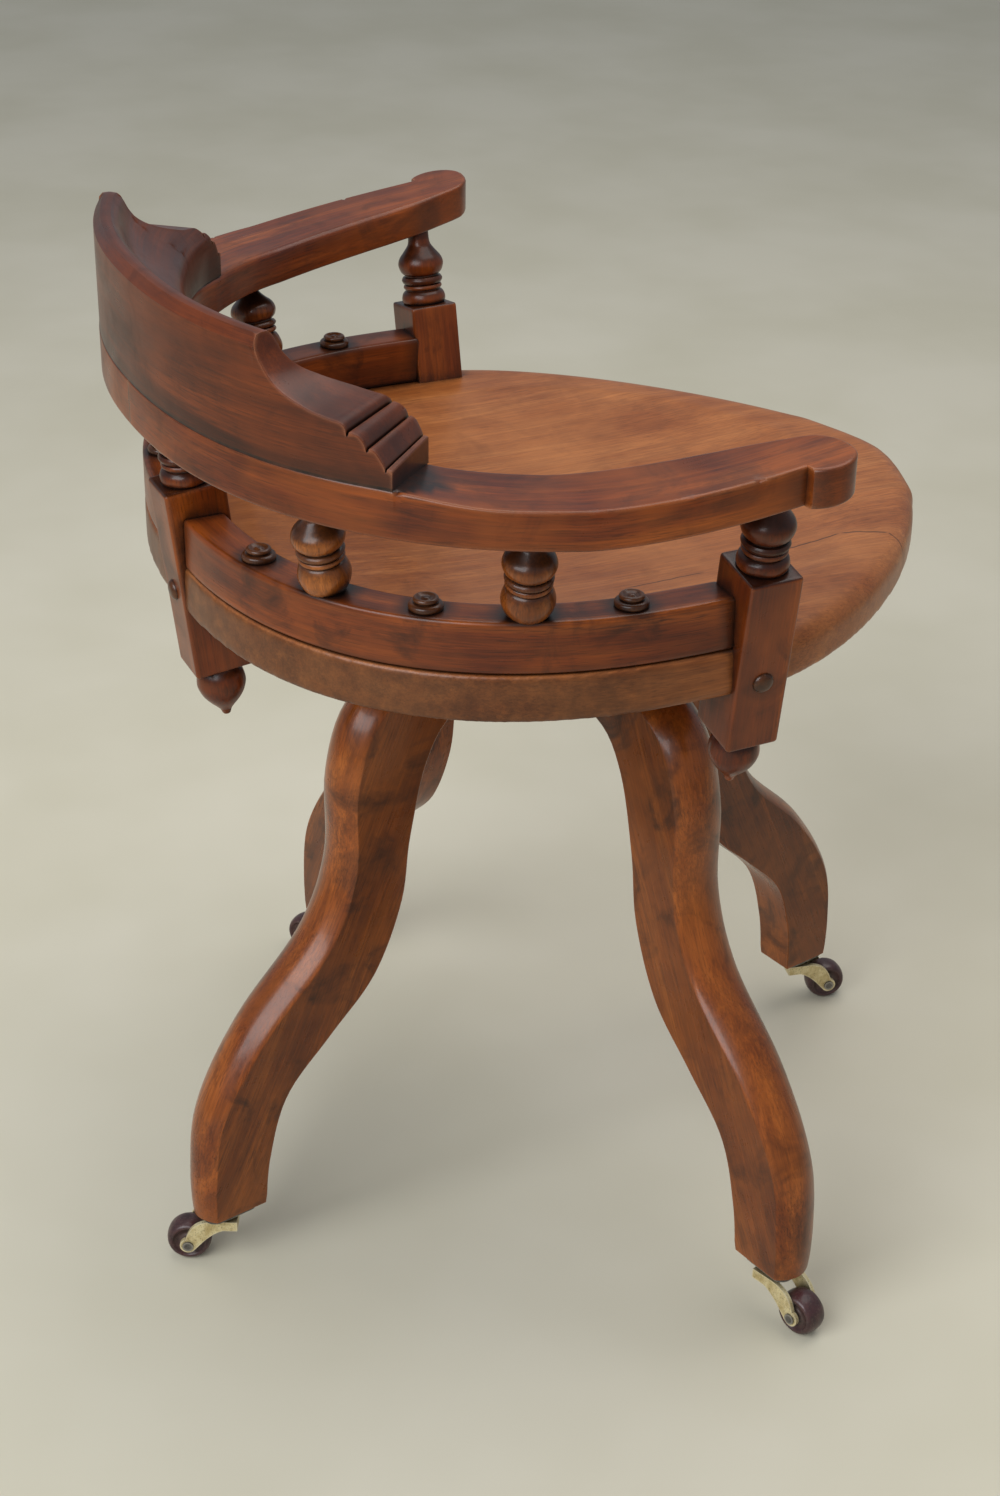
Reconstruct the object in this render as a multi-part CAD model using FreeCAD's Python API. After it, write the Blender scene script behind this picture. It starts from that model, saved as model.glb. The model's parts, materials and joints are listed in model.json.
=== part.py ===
import FreeCAD, Part
import math
import os

# Swivel desk chair with a horseshoe arm bow. Four curved legs on casters carry a hub.
# The seat turns on the hub and carries gallery rails, posts, turned spindles, the arm
# bow and the crest. Millimetres. The sitter faces -Y, +Z is up, the floor is Z = 0 and
# the swivel axis is X = Y = 0.

V = FreeCAD.Vector
UP = V(0, 0, 1)

# Clearances
fit_gap = 0.15
running_gap = 0.05
face_gap = 0.2

# Heights of the main levels
foot_level = 47.0
hub_bottom = 396.0
hub_height = 66.0
seat_underside = 508.0
seat_thickness = 34.0
rail_height = 35.0
bow_rise_back = 61.5
bow_thickness = 25.5
crest_height = 82.0

# Plan of the seat and of the gallery rail on its edge
hoop_half_width = 265.0
hoop_depth = 260.0
hoop_centre_y = 12.0
hoop_power = 2.39
seat_nose_depth = 262.0
seat_nose_power = 1.52
seat_nose_blunting = 4.0
seat_edge_round = 14.0
dish_half_width = 204.0
dish_half_depth = 216.0
dish_centre_y = -8.0
dish_depth = 15.0
dish_ball_height = 30.0
rail_thickness = 29.0
rail_edge_round = 2.5

# Plan and side shape of the arm bow
bow_half_width = 307.0
bow_depth = 301.5
bow_centre_y = -5.0
bow_power = 2.25
bow_width = 50.0
arm_tip_y = -66.0
arm_rise = 20.0
arm_rise_start_y = 112.0
arm_rise_power = 1.25
arm_knob_radius = 27.0
arm_knob_stand = 11.0

# Crest on the back of the bow: inside face upright, then hollowed up to a thin top
crest_end_x = 230.0
crest_end_turn = 43.0
crest_upright_height = 38.0
crest_hollow_height = 58.0
crest_hollow_width = 29.0
crest_top_width = 17.0
crest_top_round = 2.5

# Stepped end of the crest, a low roll, a high roll and a scoop up to the top: distance
# from the end and height above the bow
crest_end_height = 17.5
crest_low_roll = ((3.8, 18.5), (6.9, 22.4), (9.9, 26.8), (13.7, 28.9))
crest_high_roll = ((16.5, 28.7), (18.1, 32.7), (20.6, 35.4), (26.7, 37.0))
crest_scoop = ((28.0, 41.0), (39.0, 42.8), (55.6, 46.0), (75.6, 54.0), (87.5, 66.4), (91.6, 76.0))
crest_scoop_end = 93.0

# Posts: a square block, a turned neck above it and a turned drop below it
post_width = 37.0
post_depth = 42.0
post_block_above_rail = 19.0
front_block_below_seat = 40.0
back_block_below_seat = 49.0
front_post_beyond_rail = 16.0
back_post_beyond_rail = 8.5
post_edge_cut = 1.2
post_front_y = -20.0
front_post_lean = 10.0
back_post_lean = 6.7
front_post_rake = 3.0
post_neck_radius = 8.0
post_ball_radius = 17.4
post_foot_ring_radius = 16.8
post_ring_radius = 15.7
post_groove_radius = 13.2
post_drop_radius = 16.8
post_drop_length = 42.0
post_tenon_depth = 12.0

# Fittings on each side of the gallery rail, from the front post back: button, spindle,
# button, spindle, button. Their turns are counted from the middle of the back.
fitting_turns = (81.5, 66.8, 51.1, 33.6, 18.6)

# Turned spindles between the rail and the bow
front_spindle_lean = 14.0
back_spindle_lean = 12.0
spindle_neck_radius = 6.2
spindle_ball_radius = 17.0
spindle_bead_radius = 15.4
spindle_groove_radius = 13.0
spindle_tenon_radius = 6.0
spindle_tenon_depth = 12.0

# Turned buttons over the rail screws
button_radius = 11.0
button_cap_radius = 7.0
button_base_height = 3.2
button_height = 8.0
button_stem_radius = 6.0
button_stem_length = 6.0

# Fasteners
rail_screw_radius = 2.4
rail_screw_length = 40.0
screw_head_radius = 4.6
screw_head_height = 2.6
post_bolt_radius = 4.0
post_bolt_length = 50.0
post_bolt_head_radius = 6.4
post_bolt_head_height = 5.0
post_bolt_sink = 12.0
post_bolt_above_underside = 9.0
plug_radius = 7.0
plug_stand = 3.6
crest_screw_radius = 2.6
crest_screw_length = 45.0
crest_screw_turns = (-24.0, -12.0, 12.0, 24.0)
seat_screw_radius = 2.4
seat_screw_length = 22.0
plate_screw_radius = 1.6
plate_screw_head_radius = 3.0
plate_screw_length = 16.0

# Hub and legs
hub_radius = 58.0
hub_edge_round = 6.0
front_leg_angle = -77.5
leg_width = 42.0
ankle_half_width = 17.0
foot_half_width = 15.0
leg_edge_round = 12.0
leg_knee_level = 240.0
leg_ankle_level = 110.0
leg_tenon_width = 22.0
leg_tenon_height = 24.0
leg_tenon_length = 26.0
leg_tenon_level = 434.0

# Leg outline seen from the side: distance from the swivel axis and height
leg_front_outline = ((122.0, 447.0), (166.0, 424.0), (184.0, 375.0), (185.5, 308.0), (209.0, 253.0))
leg_front_outline += ((265.0, 197.0), (301.0, 137.0), (308.0, 84.0))
leg_back_outline = ((89.0, 408.0), (116.0, 378.0), (132.0, 318.0), (140.0, 266.0), (164.0, 213.0))
leg_back_outline += ((204.0, 175.0), (243.0, 137.0), (259.0, 88.0))
leg_top_at_hub = 452.0
leg_bottom_at_hub = 413.0
foot_outer_radius = 307.0
foot_inner_radius = 263.0

# Seat iron and its socket in the hub
pivot_radius = 14.0
socket_wall = 5.0
socket_stand_below = 4.0
socket_flange_radius = 40.0
socket_flange_thickness = 6.0
socket_screw_circle = 31.0
thrust_washer_radius = 25.0
thrust_washer_thickness = 3.0
spider_boss_radius = 24.0
spider_arm_length = 118.0
spider_arm_width = 30.0
spider_thickness = 7.0
spider_screw_insets = (14.0, 52.0)
retaining_washer_radius = 24.0
retaining_washer_thickness = 3.0
cotter_radius = 2.0
cotter_length = 38.0
pivot_end_margin = 5.0

# Casters
caster_radius = 285.0
caster_trail = 28.0
caster_plate_length = 42.0
caster_plate_width = 28.0
caster_plate_thickness = 3.5
caster_plate_screw_reach = 15.0
caster_pintle_radius = 5.0
caster_pintle_head_radius = 7.5
caster_pintle_head_height = 2.4
caster_collar_radius = 10.5
caster_collar_height = 4.0
caster_bridge_drop = 8.0
wheel_radius = 16.5
wheel_width = 18.5
wheel_edge_round = 4.5
wheel_side_gap = 0.6
horn_cheek_thickness = 3.2
horn_eye_radius = 6.0
axle_radius = 2.5
axle_head_radius = 4.0
axle_head_height = 1.2

# Each leg's name and the angle of its caster from straight outward
leg_casters = (("front", -24.0), ("right", 6.0), ("rear", -38.0), ("left", 20.0))

# Levels and lines worked out from the sizes above
hub_top = hub_bottom + hub_height
seat_top = seat_underside + seat_thickness
rail_top = seat_top + rail_height
bow_underside = rail_top + bow_rise_back
bow_top = bow_underside + bow_thickness
crest_top = bow_top + crest_height
socket_radius = pivot_radius + running_gap + socket_wall
socket_bottom = hub_bottom - socket_stand_below
flange_top = hub_top + socket_flange_thickness
boss_bottom = flange_top + thrust_washer_thickness + face_gap
spider_bottom = seat_underside - spider_thickness
retaining_washer_top = socket_bottom - face_gap
cotter_level = retaining_washer_top - retaining_washer_thickness - cotter_radius - running_gap
pivot_bottom = cotter_level - cotter_radius - pivot_end_margin
plate_bottom = foot_level - caster_plate_thickness
far_out = 2.0 * (bow_half_width + bow_depth)


# Small helpers


def shifted(shape, x, y, z):
    copy = shape.copy()
    copy.translate(V(x, y, z))
    return copy


def turned_about_z(shape, degrees):
    copy = shape.copy()
    copy.rotate(V(0, 0, 0), UP, degrees)
    return copy


def box(x0, x1, y0, y1, z0, z1):
    return Part.makeBox(x1 - x0, y1 - y0, z1 - z0, V(x0, y0, z0))


def rod(radius, z0, z1, x=0.0, y=0.0):
    return Part.makeCylinder(radius, z1 - z0, V(x, y, z0), UP)


def spline(points):
    curve = Part.BSplineCurve()
    curve.interpolate(points)
    return curve.toShape()


def polyline(points):
    return [Part.makeLine(a, b) for a, b in zip(points[:-1], points[1:])]


def flat_face(edges):
    return Part.Face(Part.Wire(Part.__sortEdges__(edges)))


def biggest_solid(shape):
    return max(shape.Solids, key=lambda solid: solid.Volume)


def save(name, solids):
    items = solids if isinstance(solids, list) else [solids]
    shape = items[0] if len(items) == 1 else Part.makeCompound(items)
    shape.exportStep("parts/" + name + ".step")
    print(name, len(items), "solids", round(shape.Volume / 1000.0, 2), "cm3")


# Plan curves: turn 0 is the middle of the back, +90 the +X side


def oval_point(half_width, depth, centre_y, power, degrees):
    angle = math.radians(degrees)
    sine = math.sin(angle)
    cosine = math.cos(angle)
    x = half_width * math.copysign(abs(sine) ** (2.0 / power), sine)
    y = centre_y + depth * math.copysign(abs(cosine) ** (2.0 / power), cosine)
    return V(x, y, 0)


def oval_edge(half_width, depth, centre_y, power, start, end):
    steps = 26
    turns = [start + (end - start) * i / steps for i in range(steps + 1)]
    return spline([oval_point(half_width, depth, centre_y, power, turn) for turn in turns])


def rail_oval(inset, start=-90.0, end=90.0):
    return oval_edge(hoop_half_width - inset, hoop_depth - inset, hoop_centre_y, hoop_power, start, end)


def rail_centre_point(degrees):
    inset = rail_thickness / 2.0
    return oval_point(hoop_half_width - inset, hoop_depth - inset, hoop_centre_y, hoop_power, degrees)


def rail_outward_angle(degrees):
    # Direction in plan, square to the rail and away from the sitter.
    along = rail_centre_point(degrees + 0.5) - rail_centre_point(degrees - 0.5)
    return math.degrees(math.atan2(along.x, -along.y))


def bow_oval(inset, start=-90.0, end=90.0):
    return oval_edge(bow_half_width - inset, bow_depth - inset, bow_centre_y, bow_power, start, end)


def bow_point(inset, degrees):
    return oval_point(bow_half_width - inset, bow_depth - inset, bow_centre_y, bow_power, degrees)


def horseshoe(outer, inner, half_width, width, centre_y, front_y, z0, z1):
    # A band between two half ovals with straight ends that run forward to front_y.
    edges = [outer, inner]
    for side in (-1, 1):
        outside = side * half_width
        inside = side * (half_width - width)
        edges += polyline([V(outside, centre_y, 0), V(outside, front_y, 0), V(inside, front_y, 0),
                           V(inside, centre_y, 0)])
    return shifted(flat_face(edges).extrude(V(0, 0, z1 - z0)), 0, 0, z0)


# Turned work


def turned(runs, gap=0.0):
    # Revolves runs of (radius, height) points, from the bottom up. A run of two
    # points is straight and a longer one is smooth. A gap makes room for the shape.
    edges = []
    for run in runs:
        points = [V(radius + gap, 0, height) for radius, height in run]
        edges += polyline(points) if len(points) == 2 else [spline(points)]
    bottom = runs[0][0]
    top = runs[-1][-1]
    for radius, height in (bottom, top):
        if radius + gap > 0:
            edges.append(Part.makeLine(V(0, 0, height), V(radius + gap, 0, height)))
    edges.append(Part.makeLine(V(0, 0, bottom[1]), V(0, 0, top[1])))
    return flat_face(edges).revolve(V(0, 0, 0), UP, 360).Solids[0]


def post_neck(neck_end, gap=0.0):
    # Turned shape on top of the post's block: a foot ring, two beads, a ball and a thin neck.
    ball = post_ball_radius
    foot = post_foot_ring_radius
    ring = post_ring_radius
    groove = post_groove_radius
    neck = post_neck_radius
    torus = [(foot - 1.8, 0.0), (foot, 4.6), (foot - 0.9, 8.0), (groove, 10.6)]
    low_bead = [(groove, 11.4), (ring - 0.9, 13.4), (groove + 0.4, 15.4)]
    high_bead = [(groove + 0.4, 15.8), (ring, 18.6), (groove, 21.4)]
    swell = [(groove, 22.4), (ball - 1.2, 26.0), (ball, 30.6), (ball - 1.4, 35.4), (neck + 4.2, 40.4)]
    swell += [(neck + 0.8, 45.4), (neck, 50.0)]
    flats = [[torus[-1], low_bead[0]], [low_bead[-1], high_bead[0]], [high_bead[-1], swell[0]]]
    return turned([torus, flats[0], low_bead, flats[1], high_bead, flats[2], swell, [swell[-1], (neck, neck_end)]], gap)


def post_drop():
    # Acorn drop that hangs below the post's block, its tip lowest.
    full = post_drop_radius
    low = -post_drop_length
    tip = [(0.0, low), (3.0, low + 0.8), (3.6, low + 2.8), (3.2, low + 4.6)]
    bulb = [tip[-1], (full - 5.8, -0.69 * post_drop_length), (full, -0.38 * post_drop_length)]
    bulb += [(full - 1.8, -0.16 * post_drop_length), (full - 4.3, 0.0)]
    return turned([tip, bulb])


def spindle_body(neck_end):
    # Two balls with two beads between them, then a thin neck.
    ball = spindle_ball_radius
    bead = spindle_bead_radius
    groove = spindle_groove_radius
    neck = spindle_neck_radius
    foot = [(ball - 5.4, 0.0), (ball - 1.4, 5.6), (ball, 11.6), (ball - 1.3, 17.4), (groove, 21.6)]
    low_bead = [(groove, 22.4), (bead - 0.6, 24.2), (groove + 0.4, 26.0)]
    high_bead = [(groove + 0.4, 26.4), (bead, 28.8), (groove, 31.2)]
    swell = [(groove, 32.0), (ball - 1.0, 35.2), (ball, 39.4), (ball - 1.8, 44.2), (neck + 4.4, 48.6)]
    swell += [(neck + 0.9, 52.8), (neck, 57.0)]
    flats = [[foot[-1], low_bead[0]], [low_bead[-1], high_bead[0]], [high_bead[-1], swell[0]]]
    return turned([foot, flats[0], low_bead, flats[1], high_bead, flats[2], swell, [swell[-1], (neck, neck_end)]])


def button():
    # Flat turned button with a small raised cap and a stem below it.
    wide = button_radius
    cap = button_cap_radius
    base = button_base_height
    stem = [(button_stem_radius, -button_stem_length), (button_stem_radius, 0.0)]
    edge = [(wide - 1.0, 0.0), (wide, base / 2.0), (wide - 1.0, base)]
    crown = [(cap, base), (cap - 0.4, button_height - 1.6), (cap - 2.4, button_height), (0.0, button_height)]
    return turned([stem, [stem[-1], edge[0]], edge, [edge[-1], crown[0]], crown[:2], crown[1:3], crown[2:]])


def flat_head_screw(shank_radius, head_radius, length, gap=0.0):
    # Head face at Z = 0, shank upward.
    head = Part.makeCone(head_radius + gap, shank_radius + gap, screw_head_height)
    shank = rod(shank_radius + gap, 0.0, length + gap)
    return head.fuse(shank).Solids[0]


# Posts


class Post:
    # A post leans away from the sitter and is raked towards the back, about a point at
    # the level of the rail's top. In its own frame +X points outward and +Z up the post.
    def __init__(self, name, x, y, out_angle, lean, rake, below_seat):
        self.name = name
        self.x = x
        self.y = y
        self.out_angle = out_angle
        self.lean = lean
        self.rake = rake
        self.block_bottom = -(rail_height + seat_thickness + below_seat)
        self.bolt_height = -(rail_height + seat_thickness - post_bolt_above_underside)
        rise = bow_level(y) + post_tenon_depth - rail_top
        self.neck_top = rise / math.cos(math.radians(lean))

    def placed(self, shape):
        copy = shape.copy()
        copy.rotate(V(0, 0, 0), V(0, 1, 0), self.lean)
        copy.rotate(V(0, 0, 0), UP, self.out_angle)
        copy.rotate(V(0, 0, 0), V(1, 0, 0), -self.rake)
        copy.translate(V(self.x, self.y, rail_top))
        return copy

    def inward(self, shape):
        # Lays a shape that runs along +Z so that it runs inward from the outer face.
        copy = shape.copy()
        copy.rotate(V(0, 0, 0), V(0, 1, 0), -90)
        copy.translate(V(post_depth / 2.0, 0, self.bolt_height))
        return copy

    def block(self):
        half_depth = post_depth / 2.0
        half_width = post_width / 2.0
        low = self.block_bottom
        body = box(-half_depth, half_depth, -half_width, half_width, low, post_block_above_rail)
        return body.makeChamfer(post_edge_cut, body.Edges)

    def notch(self, inner_reach):
        # Room for the block in what it passes, open on the outside.
        half_width = post_width / 2.0 + fit_gap
        low = self.block_bottom
        return self.placed(box(-inner_reach, 2.0 * post_depth, -half_width, half_width, low, post_block_above_rail))

    def seat_notch(self):
        return self.notch(post_depth / 2.0 + fit_gap)

    def rail_notch(self):
        return self.notch(2.0 * post_depth)

    def solid(self):
        neck = self.neck(0.0)
        drop = shifted(post_drop(), 0, 0, self.block_bottom)
        sink = rod(plug_radius + fit_gap, -1.0, post_bolt_sink)
        bore = rod(post_bolt_radius + fit_gap, 0.0, post_depth + 1.0)
        body = self.block().fuse([neck, drop]).cut([self.inward(sink), self.inward(bore)])
        return biggest_solid(self.placed(body))

    def neck(self, gap):
        return shifted(post_neck(self.neck_top + gap - post_block_above_rail, gap), 0, 0, post_block_above_rail)

    def tenon_room(self):
        return self.placed(self.neck(fit_gap))

    def bolt(self):
        head_start = post_bolt_sink - post_bolt_head_height
        head = rod(post_bolt_head_radius, head_start, post_bolt_sink)
        shank = rod(post_bolt_radius, head_start, post_bolt_sink + post_bolt_length)
        return self.placed(self.inward(head.fuse(shank))).Solids[0]

    def bolt_room(self):
        reach = post_bolt_sink + post_bolt_length + fit_gap
        return self.placed(self.inward(rod(post_bolt_radius + fit_gap, 0.0, reach)))

    def plug(self):
        # Domed plug over the sunk bolt head.
        depth = post_bolt_sink - post_bolt_head_height - fit_gap
        rim = plug_stand / 4.0
        dome = [(plug_radius, rim), (plug_radius - 2.2, plug_stand - 0.7), (0.0, plug_stand)]
        shape = turned([[(plug_radius, -depth), dome[0]], dome])
        shape.rotate(V(0, 0, 0), V(1, 0, 0), 180)
        return self.placed(self.inward(shape))


def make_posts():
    side = hoop_half_width + front_post_beyond_rail - post_depth / 2.0
    back = hoop_centre_y + hoop_depth + back_post_beyond_rail - post_depth / 2.0
    front_shape = (front_post_lean, front_post_rake, front_block_below_seat)
    return [Post("post_front_left", side, post_front_y, 0.0, *front_shape),
            Post("post_front_right", -side, post_front_y, 180.0, *front_shape),
            Post("post_back", 0.0, back, 90.0, back_post_lean, 0.0, back_block_below_seat)]


# Seat board and gallery rails


def seat_front_edge():
    # The front oval is pointed, so its last stretch is left out for a rounded nose.
    def at(turn):
        return oval_point(hoop_half_width, seat_nose_depth, post_front_y, seat_nose_power, turn)

    side = [at(turn) for turn in range(90, 161, 5)]
    other_side = [V(-point.x, point.y, 0) for point in reversed(side)]
    nose = V(0, post_front_y - seat_nose_depth + seat_nose_blunting, 0)
    return spline(side + [nose] + other_side)


def seat_blank():
    sides = [Part.makeLine(V(side * hoop_half_width, hoop_centre_y, 0), V(side * hoop_half_width, post_front_y, 0))
             for side in (-1, 1)]
    face = flat_face([rail_oval(0.0), seat_front_edge()] + sides)
    blank = shifted(face.extrude(V(0, 0, seat_thickness)), 0, 0, seat_underside)
    nose = [edge for edge in blank.Edges if edge.BoundBox.YMin < post_front_y - seat_nose_depth / 2.0]
    top = [edge for edge in nose if edge.BoundBox.ZMin > seat_top - 0.01]
    return blank.makeFillet(seat_edge_round, top)


def seat_dish():
    # A flattened ball whose centre stands above the seat, so that the dish has a soft rim.
    centre_rise = dish_ball_height - dish_depth
    rim_share = math.sqrt(1.0 - (centre_rise / dish_ball_height) ** 2)
    scale = FreeCAD.Matrix()
    scale.scale(dish_half_width / rim_share, dish_half_depth / rim_share, dish_ball_height)
    return shifted(Part.makeSphere(1.0).transformGeometry(scale), 0, dish_centre_y, seat_top + centre_rise)


def make_seat(posts, screw_rooms):
    cuts = [seat_dish()] + [post.seat_notch() for post in posts] + [post.bolt_room() for post in posts]
    return biggest_solid(seat_blank().cut(cuts + screw_rooms))


def make_rails(rooms):
    # Two halves that end at the posts' faces.
    ring = horseshoe(rail_oval(0.0), rail_oval(rail_thickness), hoop_half_width, rail_thickness, hoop_centre_y,
                     post_front_y, seat_top, rail_top)
    rails = []
    for side, x0, x1 in (("left", 0.0, far_out), ("right", -far_out, 0.0)):
        half = ring.common(box(x0, x1, -far_out, far_out, seat_top, rail_top)).Solids[0]
        top_edges = [edge for edge in half.Edges if edge.BoundBox.ZMin > rail_top - 0.01]
        long_edges = [edge for edge in top_edges if edge.Length > 2.0 * rail_thickness]
        half = half.makeFillet(rail_edge_round, long_edges)
        rails.append(("gallery_rail_" + side, biggest_solid(half.cut(rooms))))
    return rails


def button_points():
    return [rail_centre_point(side * turn) for side in (1, -1) for turn in fitting_turns[0::2]]


def on_rail(shape):
    return [shifted(shape, point.x, point.y, rail_top) for point in button_points()]


def rail_screw(gap=0.0):
    # Hangs below the button's stem.
    head_top = -button_stem_length - 1.0
    head_bottom = head_top - screw_head_height
    head = rod(screw_head_radius + gap, head_bottom, head_top)
    return head.fuse(rod(rail_screw_radius + gap, head_bottom - rail_screw_length - gap, head_bottom)).Solids[0]


def button_hole():
    depth = button_stem_length + 1.0 + screw_head_height
    return rod(button_stem_radius + fit_gap, -depth, 1.0)


# Spindles


class Spindle:
    def __init__(self, name, turn, lean):
        self.name = name
        self.foot = rail_centre_point(turn)
        self.out_angle = rail_outward_angle(turn)
        self.lean = lean
        rise = bow_level(self.foot.y) + spindle_tenon_depth - rail_top
        self.neck_top = rise / math.cos(math.radians(lean))

    def placed(self, shape):
        copy = shape.copy()
        copy.rotate(V(0, 0, 0), V(0, 1, 0), self.lean)
        copy.rotate(V(0, 0, 0), UP, self.out_angle)
        copy.translate(V(self.foot.x, self.foot.y, rail_top))
        return copy

    def solid(self):
        # The turned body is cut level with the rail, and a tenon goes down into it.
        above = box(-far_out, far_out, -far_out, far_out, rail_top, 2.0 * crest_top)
        body = self.placed(shifted(spindle_body(self.neck_top + 3.0), 0, 0, -3.0)).common(above)
        tenon = self.placed(rod(spindle_tenon_radius, -spindle_tenon_depth, 5.0))
        return biggest_solid(body.fuse(tenon))

    def rail_room(self):
        return self.placed(rod(spindle_tenon_radius + fit_gap, -spindle_tenon_depth - fit_gap, 5.0))

    def bow_room(self):
        return self.placed(rod(spindle_neck_radius + fit_gap, 20.0, self.neck_top + fit_gap))


def make_spindles():
    places = (("front", fitting_turns[1], front_spindle_lean), ("back", fitting_turns[3], back_spindle_lean))
    spindles = []
    for side_name, side in (("left", 1), ("right", -1)):
        for place, turn, lean in places:
            spindles.append(Spindle("spindle_" + side_name + "_" + place, side * turn, lean))
    return spindles


# Arm bow


def bow_level(y):
    # Height of the bow's underside: level at the back, rising towards the arm tips.
    part = max((arm_rise_start_y - y) / (arm_rise_start_y - arm_tip_y), 0.0)
    return bow_underside + arm_rise * part ** arm_rise_power


def bow_side_slab():
    # The bow's side shape, pushed through its whole width.
    margin = 20.0
    back_y = bow_centre_y + bow_depth + margin
    front_y = arm_tip_y - margin
    ys = [arm_rise_start_y + (front_y - arm_rise_start_y) * i / 8.0 for i in range(9)]
    edges = []
    for lift in (0.0, bow_thickness):
        curve = [V(-far_out / 2.0, y, bow_level(y) + lift) for y in ys]
        edges += [spline(curve), Part.makeLine(curve[0], V(curve[0].x, back_y, curve[0].z))]
    low = V(-far_out / 2.0, front_y, bow_level(front_y))
    back = V(-far_out / 2.0, back_y, bow_underside)
    edges += [Part.makeLine(point, point + UP * bow_thickness) for point in (low, back)]
    return flat_face(edges).extrude(V(far_out, 0, 0))


def bow_blank():
    # Each arm ends in a round tip, with a knob that stands out beyond the arm's outer side.
    tip_radius = bow_width / 2.0
    low = bow_underside - 5.0
    high = bow_level(arm_tip_y) + bow_thickness + 5.0
    tip_y = arm_tip_y + tip_radius
    plan = horseshoe(bow_oval(0.0), bow_oval(bow_width), bow_half_width, bow_width, bow_centre_y, tip_y, low, high)
    tip_x = bow_half_width - tip_radius
    knob_x = bow_half_width + arm_knob_stand - arm_knob_radius
    tips = [rod(tip_radius, low, high, side * tip_x, tip_y) for side in (-1, 1)]
    knobs = [rod(arm_knob_radius, low, high, side * knob_x, arm_tip_y + arm_knob_radius) for side in (-1, 1)]
    return plan.fuse(tips + knobs).removeSplitter().common(bow_side_slab())


def make_arms(rooms):
    # Two halves that meet at the middle of the back.
    bow = bow_blank().cut(rooms)
    arms = []
    for name, x0, x1 in (("arm_left", 0.0, far_out), ("arm_right", -far_out, 0.0)):
        half = bow.common(box(x0, x1, -far_out, far_out, rail_top, crest_top))
        arms.append((name, biggest_solid(half)))
    return arms


# Crest


def crest_end_turn_on_bow():
    # Turn of the point on the bow's outer edge where the crest ends.
    share = crest_end_x / bow_half_width
    return math.degrees(math.asin(share ** (bow_power / 2.0)))


def crest_ring(outer_inset, width, z):
    # Closed outline of the crest at one height, a little longer than the crest.
    reach = crest_end_turn_on_bow() + 6.0
    inner_inset = outer_inset + width
    edges = [bow_oval(outer_inset, -reach, reach), bow_oval(inner_inset, -reach, reach)]
    edges += [Part.makeLine(bow_point(outer_inset, turn), bow_point(inner_inset, turn)) for turn in (-reach, reach)]
    wire = Part.Wire(Part.__sortEdges__(edges))
    wire.translate(V(0, 0, bow_top + z))
    return wire


def crest_blank():
    shoulder = crest_height - crest_top_round
    hollow_slope = (crest_hollow_width - crest_top_width) / (crest_height - crest_hollow_height)
    shoulder_width = crest_top_width + hollow_slope * crest_top_round
    rings = [crest_ring(0.0, bow_width, 0.0), crest_ring(0.0, bow_width, crest_upright_height)]
    rings += [crest_ring(0.0, crest_hollow_width, crest_hollow_height), crest_ring(0.0, shoulder_width, shoulder)]
    rings.append(crest_ring(crest_top_round, crest_top_width - 2.0 * crest_top_round, crest_height))
    return Part.makeLoft(rings, True, True)


def crest_end_cuts(side):
    # Takes away the scoop, the two steps and all beyond the end of the crest.
    corner = bow_point(0.0, side * crest_end_turn_on_bow())
    turn = math.radians(crest_end_turn)
    outward = V(side * math.sin(turn), math.cos(turn), 0)
    along = V(-side * math.cos(turn), math.sin(turn), 0)
    inner = corner - outward * (2.0 * bow_width)

    def at(distance, height):
        return inner + along * distance + V(0, 0, bow_top + height)

    below = -20.0
    over = crest_height + 20.0
    beyond = -2.0 * bow_width
    start = [(beyond, below), (0.0, below), (0.0, crest_end_height), crest_low_roll[0]]
    scoop = list(crest_scoop) + [(crest_scoop_end, crest_height)]
    end = [scoop[-1], (crest_scoop_end, over), (beyond, over), start[0]]
    straight = [start, [crest_low_roll[-1], crest_high_roll[0]], [crest_high_roll[-1], scoop[0]], end]
    edges = [edge for run in straight for edge in polyline([at(*point) for point in run])]
    edges += [spline([at(*point) for point in run]) for run in (crest_low_roll, crest_high_roll, scoop)]
    return flat_face(edges).extrude(outward * (4.0 * bow_width))


def crest_screw(gap=0.0):
    return flat_head_screw(crest_screw_radius, screw_head_radius, crest_screw_length, gap)


def under_bow(shape):
    points = [bow_point(bow_width / 2.0, turn) for turn in crest_screw_turns]
    return [shifted(shape, point.x, point.y, bow_underside) for point in points]


def make_crest(screw_rooms):
    return biggest_solid(crest_blank().cut([crest_end_cuts(1), crest_end_cuts(-1)] + screw_rooms))


# Seat iron


def spider_screw_points():
    points = []
    for arm in range(4):
        angle = math.radians(45.0 + 90.0 * arm)
        for inset in spider_screw_insets:
            reach = spider_arm_length - inset
            points.append(V(reach * math.cos(angle), reach * math.sin(angle), 0))
    return points


def under_spider(shape):
    return [shifted(shape, point.x, point.y, spider_bottom) for point in spider_screw_points()]


def seat_screw(gap=0.0):
    return flat_head_screw(seat_screw_radius, screw_head_radius, seat_screw_length, gap)


def make_spider():
    half = spider_arm_width / 2.0
    bar = box(-spider_arm_length, spider_arm_length, -half, half, spider_bottom, seat_underside)
    plate = turned_about_z(bar, 45.0).fuse(turned_about_z(bar, 135.0))
    boss = rod(spider_boss_radius, boss_bottom, seat_underside)
    bore = rod(pivot_radius + running_gap, boss_bottom - 1.0, seat_underside + 1.0)
    return biggest_solid(plate.fuse(boss).removeSplitter().cut([bore] + under_spider(seat_screw(fit_gap))))


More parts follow.
